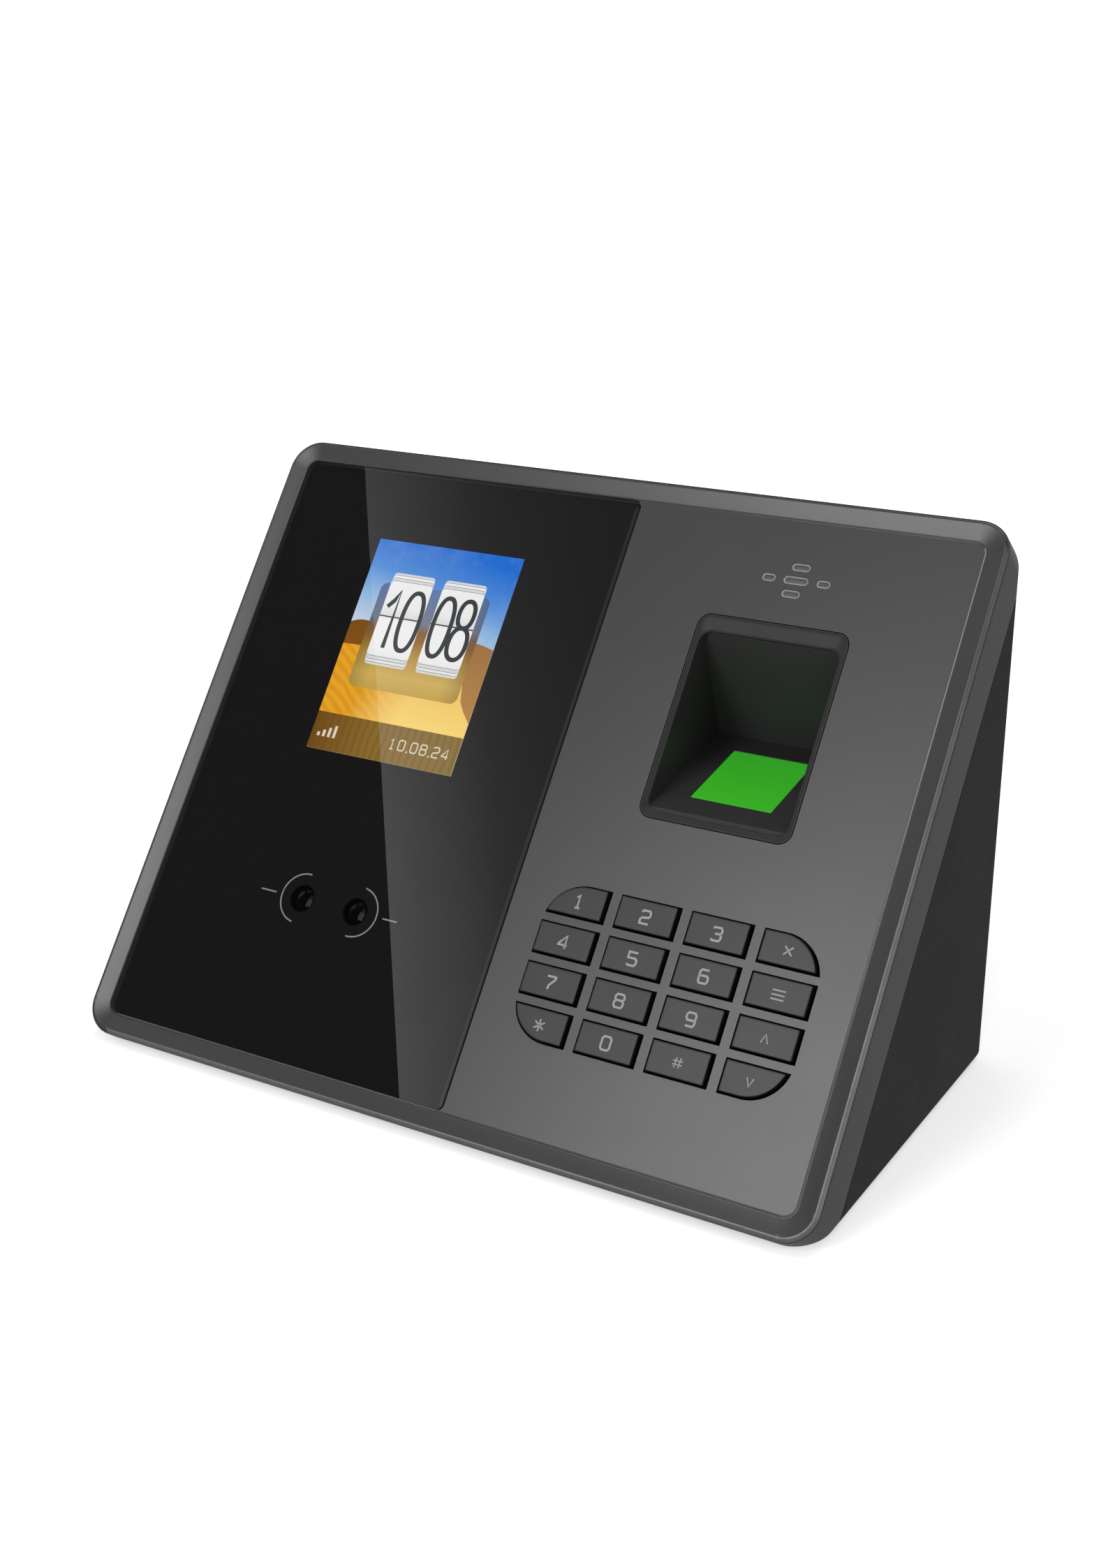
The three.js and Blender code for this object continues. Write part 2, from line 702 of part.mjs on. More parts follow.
// Prism with its long face up, under the platen.
function sensorPrism() {
  const profile = [
    // [y, z]
    [-platenY + 0.4, underPlaten],
    [-platenY + 0.4, -5.5],
    [platenY - 7, -12.5],
    [platenY - 0.4, underPlaten],
  ];
  return prismX(profile, -platenX + 0.4, platenX - 0.4);
}

// Block round the prism, open above and, past a ledge, below.
function sensorHolder() {
  const boreX = platenX + 0.1;
  return cut(
    box(-14, 14, -13.0, 17, -20, underPlaten),
    box(-boreX, boreX, -11.6, 12.4, -10, 0),
    box(-boreX, boreX, -11.6, 15, -25, -6.5),
  );
}

// Board under the holder, with a round barrel standing on it.
function sensorBoard() {
  return box(-16, 16, -16, 19, -21.9, -20.3).add(bar(circle(0, 9.5, 3.2, 16), -21, -14));
}

add(
  sensor,
  "platen_glass",
  block(-platenX, platenX, -platenY, platenY, -PLATEN.thickness, 0),
  MATERIAL.platen,
);
add(sensor, "sensor_prism", sensorPrism(), MATERIAL.prism);
add(sensor, "sensor_holder", sensorHolder(), MATERIAL.black);
add(sensor, "sensor_lamp_board", block(-9, 9, -8.6, 4.5, -17.4, -16.4), MATERIAL.pcb);
add(sensor, "sensor_board", sensorBoard(), MATERIAL.pcb);

// ---------------------------------------------------------------- keypad
const keypad = new THREE.Group();
panel.add(keypad);

const keyBottom = UNDER_SKIN - 0.8;
const domeTop = keyBottom - KEY_TRAVEL - 0.2; // clear of a pressed key
const membraneBottom = domeTop - 2.0;
const keyBoardTop = membraneBottom - GAP;

// Block the size of a key hole, grown, with the block's rounding on the four corner keys.
function keyShape(u, v, growU, growV, n0, n1) {
  const halfW = KEY_HOLE.width / 2 + growU;
  const halfH = KEY_HOLE.height / 2 + growV;
  const body = box(-halfW, halfW, -halfH, halfH, n0, n1);
  const atCorner = [KEY_U[0], KEY_U[3]].includes(u) && [KEY_V[0], KEY_V[3]].includes(v);
  if (!atCorner) return body;
  return body.intersect(bar(keyBlock(growU, growV, u, v), n0 - 1, n1 + 1));
}

// Cap that stands out of the panel, on a wider flange behind it.
function key(u, v) {
  const cap = keyShape(u, v, -KEY_GAP_U, -KEY_GAP_V, UNDER_SKIN - 0.4, KEY_STANDOUT);
  return cap.add(keyShape(u, v, 0.5, 0.5, keyBottom, UNDER_SKIN));
}

KEY_NAMES.forEach((names, row) =>
  names.forEach((name, column) => {
    const u = KEY_U[column];
    const v = KEY_V[row];
    add(keypad, name, key(u, v), MATERIAL.key, u, v);
  }),
);

// Silicone sheet with a dome under each key.
function keyMembrane() {
  const domes = KEY_CENTRES.map(([u, v]) =>
    solid(
      loft([
        [circle(u, v, 3.4, 10), domeTop - 1.5],
        [circle(u, v, 2.2, 10), domeTop],
      ]),
    ),
  );
  return join(
    bar(roundRect(15, 85, -59, -15.5, 2, 3), membraneBottom, domeTop - 1.2),
    ...domes,
  );
}
add(keypad, "key_membrane", keyMembrane(), MATERIAL.silicone);

function keypadBoard() {
  return cut(
    box(10.2, 88.6, -61, -14.5, keyBoardTop - PCB_T, keyBoardTop),
    ...KEY_PEGS.map(([u, v]) => bar(circle(u, v, 1.4, 12), keyBoardTop - 3, keyBoardTop + 1)),
  );
}
add(keypad, "keypad_board", keypadBoard(), MATERIAL.pcb);

// ---------------------------------------------------------------- main board
const CHIPS = [
  // [u0, u1, v0, v1, height], on the rear face of the board
  [-52, -34, 4, 22, 1.4],
  [-70, -60, 8, 22, 1.2],
  [-26, -14, 8, 20, 1.2],
  [-60, -44, -26, -14, 1.6],
  [-30, -12, -34, -24, 5.5],
  [-74, -64, -40, -22, 5.0],
  [-8, 2, -20, 10, 5.5],
];
const BOARD_SCREW_PROFILE = [
  // [radius, z], the head at z <= 0
  [0, -1.5],
  [2.3, -1.5],
  [2.6, -0.9],
  [2.6, 0],
  [1.05, 0],
  [1.05, 6.5],
  [0, 7.3],
];
const mainBoardRear = MAIN_PCB.n - PCB_T;

function mainBoard() {
  const { u0, u1, v0, v1, n } = MAIN_PCB;
  const board = cut(
    bar(roundRect(u0, u1, v0, v1, 2, 3), mainBoardRear, n),
    ...PCB_POSTS.map(([u, v]) => bar(circle(u, v, 1.5, 14), n - 4, n + 2)),
  );
  const chips = CHIPS.map(([chipU0, chipU1, chipV0, chipV1, height]) =>
    box(chipU0, chipU1, chipV0, chipV1, mainBoardRear - height, mainBoardRear + 0.3),
  );
  return join(board, ...chips);
}
add(panel, "main_board", mainBoard(), MATERIAL.pcb);

PCB_POSTS.forEach(([u, v], i) => {
  const screw = lathe(BOARD_SCREW_PROFILE, 14);
  add(panel, `board_screw_${i + 1}`, screw, MATERIAL.zinc, u, v, mainBoardRear - 0.1);
});

// ---------------------------------------------------------------- cables
const LCD_RIBBON_PATH = [
  // [V, N]
  [-8.3, -4.0],
  [-8.9, -5.0],
  [-9.1, -7.0],
  [-9.0, -10.0],
  [-8.4, -12.6],
  [-7.0, -14.2],
  [-5.0, -15.0],
  [-2.5, -15.4],
];
const SPEAKER_CABLE_PATH = [
  // [U, V, N]
  [41.4, 60.5, -6.2],
  [36, 58, -7.4],
  [26, 50, -10.5],
  [20, 34, -13.5],
  [14, 14, -17],
  [9.5, 2, -18.6],
  [3.6, -4, -19.4],
];
const SENSOR_CABLE_PATH = [
  // [U, V, N]
  [32.6, 2, -33],
  [26, 0, -33.5],
  [19, -6, -31],
  [13, -13, -26],
  [7, -16, -23],
  [3.0, -15, -20.6],
];

// Flat strip that follows [V, N] points, from u0 to u1.
function ribbon(path, thickness, u0, u1) {
  const edge = (offset) =>
    path.map((point, i) => {
      const before = path[Math.max(0, i - 1)];
      const after = path[Math.min(path.length - 1, i + 1)];
      const dir = unit(subtract(after, before));
      return along(point, [dir[1], -dir[0]], offset);
    });
  return prismX([...edge(thickness / 2), ...edge(-thickness / 2).reverse()], u0, u1);
}

function cable(path, radius) {
  return new THREE.ExtrudeGeometry(new THREE.Shape(vectors(circle(0, 0, radius, 8))), {
    steps: 22,
    bevelEnabled: false,
    extrudePath: new THREE.CatmullRomCurve3(path.map((point) => new THREE.Vector3(...point))),
  });
}

add(panel, "lcd_ribbon", ribbon(LCD_RIBBON_PATH, 0.4, -48, -36), MATERIAL.ribbon);
add(panel, "speaker_cable", cable(SPEAKER_CABLE_PATH, 0.9), MATERIAL.cable);
add(panel, "sensor_cable", cable(SENSOR_CABLE_PATH, 1.1), MATERIAL.cable);

// ---------------------------------------------------------------- battery and connectors
add(
  terminal,
  "backup_battery",
  prism(roundRect(-87.8, -38.2, 6, 41, 3, 4), BASE_Z + WALL + GAP, 14.5),
  MATERIAL.battery,
);
add(
  terminal,
  "connector_board",
  block(-34, 47, 11, 46.5, IO_TOP - PCB_T, IO_TOP),
  MATERIAL.pcb,
);

// Cuts as [x0, x1, depth, z0, z1], from the socket's centre line and bottom
const NETWORK_CUTS = [
  [-5.9, 5.9, 13, 3.4, 10.6], // mouth
  [-3.1, 3.1, 13, 1.6, 4], // latch notch
];
const USB_CUTS = [
  // A mouth that leaves a tongue standing in the middle
  [-6.4, 6.4, 11, 0.8, 3.2],
  [-6.4, 6.4, 1.2, 0.8, 6.2],
  [-6.4, 6.4, 11, 5.0, 6.2],
  [-6.4, -5.9, 11, 0.8, 6.2],
  [5.9, 6.4, 11, 0.8, 6.2],
];

function portBody({ x, width, height, depth }) {
  const half = width / 2;
  return box(x - half, x + half, PORT_Y - depth, PORT_Y, PORT_Z, PORT_Z + height);
}

function socket(port, cuts) {
  const tools = cuts.map(([x0, x1, depth, z0, z1]) =>
    box(port.x + x0, port.x + x1, PORT_Y - depth, PORT_Y + 1, PORT_Z + z0, PORT_Z + z1),
  );
  return cut(portBody(port), ...tools);
}

// Round well with a centre pin.
function powerJack() {
  const axisZ = PORT_Z + POWER.height / 2;
  const pin = barY(circle(POWER.x, axisZ, 1.0, 12), PORT_Y - 12, PORT_Y - 1.2);
  const well = barY(circle(POWER.x, axisZ, 3.2, 20), PORT_Y - 9.5, PORT_Y + 1);
  return cut(portBody(POWER), well.subtract(pin));
}

add(terminal, "network_port", socket(NETWORK, NETWORK_CUTS), MATERIAL.steel);
add(terminal, "usb_port", socket(USB, USB_CUTS), MATERIAL.steel);
add(terminal, "power_jack", powerJack(), MATERIAL.black);

// ---------------------------------------------------------------- wall plate
function wallPlate() {
  const { width, z0, z1, thickness, proud, radius } = PLATE;
  const rear = BACK_Y + proud;
  const front = rear - thickness;
  const hookEnd = front - 4.6;
  // Hooks that reach into the housing and turn up at the end
  const hooks = HOOK_X.flatMap((x) => [
    box(x - 4, x + 4, hookEnd, front + 0.5, 95.2, 96.7),
    box(x - 4, x + 4, hookEnd, front - 3.1, 95.2, 98.6),
  ]);
  const throughPlate = (points) => barY(points, front - 1, rear + 1);
  return cut(
    join(barY(roundRect(-width / 2, width / 2, z0, z1, radius, 5), front, rear), ...hooks),
    ...grid([-40, 40], [54, 98]).map(([x, z]) => throughPlate(circle(x, z, 2.3, 18))),
    throughPlate(roundRect(-11, 11, 68, 84, 3, 4)),
  );
}
add(terminal, "wall_plate", wallPlate(), MATERIAL.steel);

// ---------------------------------------------------------------- case screws and feet
const CASE_SCREW_PROFILE = [
  // [radius, z]
  [0, -1.8],
  [2.0, -1.8],
  [2.7, -1.2],
  [2.8, 0],
  [1.4, 0],
  [1.4, 7.2],
  [0, 8.2],
];
const FOOT_PROFILE = [
  // [radius, z]
  [0, 0],
  [FOOT_R - 0.6, 0],
  [FOOT_R, 0.5],
  [FOOT_R, FOOT_STANDOUT + 0.7],
  [0, FOOT_STANDOUT + 0.7],
];

// Pan head with a cross recess; the head is at z <= 0 and the shank points up.
function caseScrew() {
  return cut(
    solid(lathe(CASE_SCREW_PROFILE, 16)),
    box(-1.5, 1.5, -0.35, 0.35, -3, -0.8),
    box(-0.35, 0.35, -1.5, 1.5, -3, -0.8),
  );
}

for (const [side, x] of Object.entries({ left: -SCREW_X, right: SCREW_X })) {
  const addScrew = (place, y, z) =>
    add(terminal, `case_screw_${place}_${side}`, caseScrew(), MATERIAL.zinc, x, y, z);
  addScrew("base", BASE_SCREW_Y, BASE_Z + SCREW_SINK);
  const backScrew = addScrew("back", BACK_Y - SCREW_SINK, BACK_SCREW_Z);
  backScrew.rotation.x = Math.PI / 2; // the shank points to -Y
}

for (const [end, y] of Object.entries(FOOT_Y))
  for (const [side, x] of Object.entries(FOOT_X))
    add(terminal, `foot_${end}_${side}`, lathe(FOOT_PROFILE, 24), MATERIAL.rubber, x, y);

export default terminal;
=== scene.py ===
"""Desk terminal with a sloping front panel: a glass pane with a display on the left, and
a finger guide, speaker slots and a 4 x 4 keypad on the right.

World frame: X right, Y away from the viewer, Z up, metres. Nearly all shapes are made in
millimetres, many in the panel's own frame: u right, v up the panel, n out of the panel.
"""
import json
import math
import random

import bmesh
import bpy
from mathutils import Matrix, Vector
from mathutils.geometry import tessellate_polygon


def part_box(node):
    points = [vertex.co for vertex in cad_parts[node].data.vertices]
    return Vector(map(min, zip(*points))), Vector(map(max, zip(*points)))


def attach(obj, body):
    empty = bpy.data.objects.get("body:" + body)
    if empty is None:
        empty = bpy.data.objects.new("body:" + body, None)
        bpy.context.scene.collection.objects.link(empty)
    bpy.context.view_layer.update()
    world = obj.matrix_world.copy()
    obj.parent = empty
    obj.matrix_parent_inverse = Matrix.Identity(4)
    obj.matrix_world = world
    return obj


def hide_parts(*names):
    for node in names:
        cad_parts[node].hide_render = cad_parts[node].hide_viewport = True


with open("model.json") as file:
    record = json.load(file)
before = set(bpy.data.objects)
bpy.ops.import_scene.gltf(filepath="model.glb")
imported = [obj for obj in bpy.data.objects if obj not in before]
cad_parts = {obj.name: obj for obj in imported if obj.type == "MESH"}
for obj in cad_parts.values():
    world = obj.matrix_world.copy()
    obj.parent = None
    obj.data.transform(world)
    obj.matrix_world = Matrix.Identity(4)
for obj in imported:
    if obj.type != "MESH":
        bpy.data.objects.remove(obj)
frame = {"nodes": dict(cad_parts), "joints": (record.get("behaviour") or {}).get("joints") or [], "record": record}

random.seed(7)
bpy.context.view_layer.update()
ROOT = "terminal"
MM = 0.001

# ---------------------------------------------------------------- panel frame
TILT = 37.0                        # panel from the vertical, degrees
FIELD_U, FIELD_V = 93.24, 76.75    # half sizes of the flat field
FIELD_R = 3.0
GAP = 0.3                          # clearance between neighbouring parts
GLASS_T = 1.2

U_DIR = Vector((1, 0, 0))
N_DIR = -Vector(frame["joints"][0]["axis"]).normalized()    # keys move along minus n
V_DIR = N_DIR.cross(U_DIR)
if V_DIR.z < 0:
    V_DIR = -V_DIR

# The glass is front-most at the outer bottom edge and lowest at the inner bottom edge.
glass_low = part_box("display_glass")[0]
tilt_sin, tilt_cos = math.sin(math.radians(TILT)), math.cos(math.radians(TILT))
PANEL_Y = glass_low.y / MM + (FIELD_V - GAP) * tilt_sin
PANEL_Z = glass_low.z / MM + (FIELD_V - GAP) * tilt_cos + GLASS_T * tilt_sin
PANEL = Matrix.Translation((0, PANEL_Y, PANEL_Z)) @ Matrix.Rotation(math.radians(90 - TILT), 4, "X")
PANEL_INV = PANEL.inverted()


def to_world(u, v, n):
    """Panel point in millimetres to the world in metres."""
    return (PANEL @ Vector((u, v, n))) * MM


PANEL_ORIGIN = Vector(to_world(0, 0, 0))

# Camera position in the world (metres) and in the panel's frame (millimetres).
EYE = Vector((0.23130, PANEL_Y * MM - 0.37711, PANEL_Z * MM + 0.16607))
EYE_PANEL = PANEL_INV @ (EYE / MM)
EYE_DIRECTION = Vector((-0.47629, 0.80746, -0.34807))


def seen_below(u, v, depth):
    """The point at depth below the panel's face that the camera sees at (u, v) of the face."""
    f = depth / (EYE_PANEL.z + depth)
    return ((u - EYE_PANEL.x * f) / (1 - f), (v - EYE_PANEL.y * f) / (1 - f))


# ---------------------------------------------------------------- main dimensions, mm
HALF_W, FACE_V0, FACE_V1, FACE_R = 98.75, -82.23, 82.2, 8.0
FACE = (-HALF_W, HALF_W, FACE_V0, FACE_V1)
FIELD = (-FIELD_U, FIELD_U, -FIELD_V, FIELD_V)
CREST = 0.8                        # height of the cover's edge above the field
WALL, SKIN = 2.5, 3.0              # thickness of the sides and of the panel
PARTING = -12.6                    # n of the joint between cover and housing
BASE_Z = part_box("rear_housing")[0].z / MM
BACK_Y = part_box("rear_housing")[1].y / MM
OUTER_BASE_Z = 0.25                # the outer skin comes down almost to the floor
HEEL_R, BACK_R, SIDE_R = 5.0, 1.2, 2.0

GLASS_U1 = 6.4                     # the pane's edge towards the keypad
RIM, RIM_R = (30.9, 68.4, 0.3, 50.75), 3.0        # finger guide: u0, u1, v0, v1
MOUTH, MOUTH_R = (32.0, 66.9, 2.2, 46.8), 2.8
CAMERA_U, CAMERA_V = (-49.4, -33.7), -37.3
# The camera windows' centres as the camera sees them on the panel's face.
CAMERA_SEEN_U, CAMERA_SEEN_V = (-48.9, -33.2), -37.4

KEY_U = [23.4 + 17.7 * i for i in range(4)]
KEY_V = [-22.55 - 9.8 * i for i in range(4)]
KEY_W, KEY_H = 15.4, 8.0           # key opening
KEY_GAP_U, KEY_GAP_V = 0.7, 0.45
BLOCK_R = 10.0                     # outer corners of the keypad
KEY_TOP = 1.1
# Speaker slots: u, v, width, height
SLOTS = [
    (51.4, 61.9, 6.3, 2.1), (51.75, 65.25, 4.7, 2.0), (51.1, 58.5, 4.7, 2.0),
    (44.6, 61.9, 3.5, 2.0), (58.25, 61.9, 3.5, 2.0),
]


# ---------------------------------------------------------------- outlines
def rect(x0, x1, y0, y1):
    return [(x0, y0), (x1, y0), (x1, y1), (x0, y1)]


def rounded(x0, x1, y0, y1, radius, seg=12):
    """Rounded rectangle; radii run lower right, upper right, upper left, lower left."""
    radii = radius if isinstance(radius, list) else [radius] * 4
    corners = [(x1, y0, -90, -1, 1), (x1, y1, 0, -1, -1), (x0, y1, 90, 1, -1), (x0, y0, 180, 1, 1)]
    out = []
    for r, (x, y, start, side_x, side_y) in zip(radii, corners):
        if r < 1e-6:
            out.append((x, y))
            continue
        for k in range(seg + 1):
            a = math.radians(start + 90 * k / seg)
            out.append((x + side_x * r + r * math.cos(a), y + side_y * r + r * math.sin(a)))
    return out


def grown(bounds, radius, by, seg=12):
    """Rounded rectangle moved out by a distance on every side, radius too."""
    x0, x1, y0, y1 = bounds
    return rounded(x0 - by, x1 + by, y0 - by, y1 + by, radius + by, seg)


def circle(x, y, r, seg=48):
    turns = [2 * math.pi * i / seg for i in range(seg)]
    return [(x + r * math.cos(a), y + r * math.sin(a)) for a in turns]


def arc(x, y, r, start, stop, seg=40):
    turns = [math.radians(start + (stop - start) * i / seg) for i in range(seg + 1)]
    return [(x + r * math.cos(a), y + r * math.sin(a)) for a in turns]


def blend(first, second, k):
    """Outline a fraction k of the way from the first to the second."""
    return [(a[0] + (b[0] - a[0]) * k, a[1] + (b[1] - a[1]) * k) for a, b in zip(first, second)]


def signed_area(p):
    return sum(p[i - 1][0] * p[i][1] - p[i][0] * p[i - 1][1] for i in range(len(p))) / 2


def inset(outline, distance):
    """Convex anticlockwise outline with every side moved in."""
    out = []
    for i, b in enumerate(outline):
        a, c = outline[i - 1], outline[(i + 1) % len(outline)]
        along1 = Vector((b[0] - a[0], b[1] - a[1])).normalized()
        along2 = Vector((c[0] - b[0], c[1] - b[1])).normalized()
        normal1, normal2 = Vector((-along1.y, along1.x)), Vector((-along2.y, along2.x))
        middle = normal1 + normal2
        k = distance / max(0.25, middle.dot(normal1))
        out.append((b[0] + middle.x * k, b[1] + middle.y * k))
    return out


def soften(outline, radius, seg=4, least=25):
    """Rounds the corners that turn by more than least degrees."""
    out = []
    for i in range(len(outline)):
        b = Vector(outline[i])
        back, ahead = Vector(outline[i - 1]) - b, Vector(outline[(i + 1) % len(outline)]) - b
        angle = back.angle(ahead)
        if 180 - math.degrees(angle) < least:
            out.append(tuple(b))
            continue
        reach = min(radius / math.tan(angle / 2), back.length * 0.45, ahead.length * 0.45)
        p, q = b + back.normalized() * reach, b + ahead.normalized() * reach
        for k in range(seg + 1):
            s = k / seg
            out.append(tuple((1 - s) ** 2 * p + 2 * s * (1 - s) * b + s * s * q))
    return out


def outside(x, y, bounds, r):
    """Distance of a point outside a rounded rectangle, negative inside."""
    x0, x1, y0, y1 = bounds
    dx = abs(x - (x0 + x1) / 2) - ((x1 - x0) / 2 - r)
    dy = abs(y - (y0 + y1) / 2) - ((y1 - y0) / 2 - r)
    return (math.hypot(dx, dy) if dx > 0 and dy > 0 else max(dx, dy)) - r


def slot_outline(slot, inset_by, seg=12):
    u, v, width, height = slot
    return rounded(u - width / 2 + inset_by, u + width / 2 - inset_by,
                   v - height / 2 + inset_by, v + height / 2 - inset_by,
                   height / 2 - inset_by - 1e-3, seg)


def key_outline(row, column, grow_u, grow_v):
    """Key opening widened on every side; the block's four corner keys carry a large arc."""
    half_u, half_v = KEY_W / 2 + grow_u, KEY_H / 2 + grow_v
    x0, x1 = KEY_U[column] - half_u, KEY_U[column] + half_u
    y0, y1 = KEY_V[row] - half_v, KEY_V[row] + half_v
    if row not in (0, 3) or column not in (0, 3):
        return rect(x0, x1, y0, y1)
    radius = BLOCK_R + (grow_u + grow_v) / 2
    side_x, edge_x, inner_x = (-1, x0, x1) if column == 0 else (1, x1, x0)
    side_y, edge_y, inner_y = (1, y1, y0) if row == 0 else (-1, y0, y1)
    centre_x, centre_y = edge_x - side_x * radius, edge_y - side_y * radius
    stop = math.asin((inner_y - centre_y) * side_y / radius)    # where it meets the inner side
    outline = [(inner_x, inner_y), (inner_x, edge_y)]
    for k in range(21):
        a = math.pi / 2 + (stop - math.pi / 2) * k / 20
        outline.append((centre_x + side_x * radius * math.cos(a),
                        centre_y + side_y * radius * math.sin(a)))
    if signed_area(outline) < 0:
        outline.reverse()
    return outline


# ---------------------------------------------------------------- mesh making, mm
IDENTITY = Matrix()
ALONG_X = Matrix(((0, 0, 1, 0), (1, 0, 0, 0), (0, 1, 0, 0), (0, 0, 0, 1)))
ALONG_Y = Matrix(((1, 0, 0, 0), (0, 0, -1, 0), (0, 1, 0, 0), (0, 0, 0, 1)))


def link_object(name, mesh):
    piece = bpy.data.objects.new(name, mesh)
    bpy.context.scene.collection.objects.link(piece)
    return piece


def mesh_object(name, verts, faces):
    mesh = bpy.data.meshes.new(name)
    mesh.from_pydata([tuple(v) for v in verts], [], faces)
    mesh.validate()
    mesh.update()
    return link_object(name, mesh)


def loft(name, levels, matrix=IDENTITY, tube=False):
    """Closed solid through equal-count outlines [(points, height), ...], lowest first.

    A tube joins its last outline to its first instead of capping both.
    """
    n = len(levels[0][0])
    top = (len(levels) - 1) * n
    verts = [matrix @ Vector((x, y, z)) for points, z in levels for x, y in points]
    faces = []
    for base in range(0, top, n):
        for i in range(n):
            a, b = base + i, base + (i + 1) % n
            faces.append((a, b, b + n, a + n))
    if tube:
        faces += [((i + 1) % n, i, top + i, top + (i + 1) % n) for i in range(n)]
    else:
        faces += [tuple(reversed(range(n))), tuple(range(top, top + n))]
    return mesh_object(name, verts, faces)


def prism(name, outline, z0, z1, matrix=IDENTITY):
    return loft(name, [(outline, z0), (outline, z1)], matrix)


def prism_x(name, outline, x0, x1, matrix=IDENTITY):
    """Outline in the second and third axes, drawn along the first."""
    return prism(name, outline, x0, x1, matrix @ ALONG_X)


def prism_y(name, outline, y0, y1):
    """Outline in X and Z, drawn along Y."""
    return prism(name, outline, -y1, -y0, ALONG_Y)


def box(name, x0, x1, y0, y1, z0, z1, matrix=IDENTITY):
    return prism(name, rect(x0, x1, y0, y1), z0, z1, matrix)


def plate(name, outer, holes, n0, n1):
    """Closed flat panel plate; outer and holes run anticlockwise."""
    loops = [outer] + [list(reversed(hole)) for hole in holes]
    loops = [[Vector((x, y, 0)) for x, y in loop] for loop in loops]
    flat = [p for loop in loops for p in loop]
    count = len(flat)
    verts = [PANEL @ Vector((p.x, p.y, n)) for n in (n0, n1) for p in flat]
    faces = []
    for a, b, c in tessellate_polygon(loops):
        if (flat[b] - flat[a]).cross(flat[c] - flat[a]).z < 0:
            b, c = c, b
        faces += [(a + count, b + count, c + count), (a, c, b)]
    start = 0
    for loop in loops:
        for i in range(len(loop)):
            a, b = start + i, start + (i + 1) % len(loop)
            faces.append((a, b, b + count, a + count))
        start += len(loop)
    return mesh_object(name, verts, faces)


def add_stroke(line, width, n0, n1, verts, faces):
    """Adds a ribbon along a polyline; equal end points close it to a loop."""
    closed = len(line) > 2 and (Vector(line[0]) - Vector(line[-1])).length < 1e-6
    points = [Vector(p) for p in (line[:-1] if closed else line)]
    n = len(points)
    left, right = [], []
    for i, b in enumerate(points):
        if closed:
            a, c = points[i - 1], points[(i + 1) % n]
        else:
            a, c = points[max(0, i - 1)], points[min(n - 1, i + 1)]
        before, after = b - a, c - b
        along1 = (before if before.length > 1e-9 else after).normalized()
        along2 = (after if after.length > 1e-9 else before).normalized()
        normal1, normal2 = Vector((-along1.y, along1.x)), Vector((-along2.y, along2.x))
        middle = normal1 + normal2
        k = (width / 2) / max(0.55, middle.dot(normal1))
        left.append(b + middle * k)
        right.append(b - middle * k)
    left0 = len(verts)
    right0, left1, right1 = left0 + n, left0 + 2 * n, left0 + 3 * n
    for z in (n0, n1):
        verts += [Vector((p.x, p.y, z)) for p in left + right]
    for i in range(n if closed else n - 1):
        j = (i + 1) % n
        faces.append((left1 + i, right1 + i, right1 + j, left1 + j))
        faces.append((left0 + j, right0 + j, right0 + i, left0 + i))
        faces.append((left0 + i, left1 + i, left1 + j, left0 + j))
        faces.append((right0 + j, right1 + j, right1 + i, right0 + i))
    if not closed:
        end = n - 1
        faces.append((left0, right0, right1, left1))
        faces.append((right0 + end, left0 + end, left1 + end, right1 + end))


def strokes(name, lines, n0, n1):
    """One panel object from [(polyline, width), ...]."""
    verts, faces = [], []
    for line, width in lines:
        add_stroke(line, width, n0, n1, verts, faces)
    return mesh_object(name, [PANEL @ v for v in verts], faces)


def drop(piece):
    mesh = piece.data
    bpy.data.objects.remove(piece)
    if mesh.users == 0:
        bpy.data.meshes.remove(mesh)


def fuse(pieces, name):
    """One object holding the meshes of all pieces."""
    bm = bmesh.new()
    for piece in pieces:
        bm.from_mesh(piece.data)
    mesh = bpy.data.meshes.new(name)
    bm.to_mesh(mesh)
    bm.free()
    for piece in pieces:
        drop(piece)
    return link_object(name, mesh)


def apply_modifiers(piece):
    bpy.context.view_layer.update()
    graph = bpy.context.evaluated_depsgraph_get()
    mesh = bpy.data.meshes.new_from_object(piece.evaluated_get(graph), depsgraph=graph)
    old = piece.data
    piece.modifiers.clear()
    piece.data = mesh
    if old.users == 0:
        bpy.data.meshes.remove(old)


def boolean(piece, tool, operation="DIFFERENCE"):
    modifier = piece.modifiers.new("b", "BOOLEAN")
    modifier.operation = operation
    modifier.solver = "EXACT"
    modifier.object = tool
    apply_modifiers(piece)
    drop(tool)


def tidy(piece):
    """Merges doubled points and nearly flat neighbouring faces."""
    bm = bmesh.new()
    bm.from_mesh(piece.data)
    bmesh.ops.remove_doubles(bm, verts=bm.verts, dist=1e-4)
    bmesh.ops.dissolve_limit(bm, angle_limit=math.radians(0.25), verts=bm.verts,
                             edges=bm.edges, delimit={"MATERIAL"})
    bmesh.ops.recalc_face_normals(bm, faces=bm.faces)
    bm.to_mesh(piece.data)
    bm.free()


def bevel(piece, width, seg):
    modifier = piece.modifiers.new("bevel", "BEVEL")
    modifier.limit_method = "ANGLE"
    modifier.angle_limit = math.radians(38)
    modifier.width = width
    modifier.segments = seg
    modifier.use_clamp_overlap = True
    modifier.miter_outer = "MITER_SHARP"
    apply_modifiers(piece)


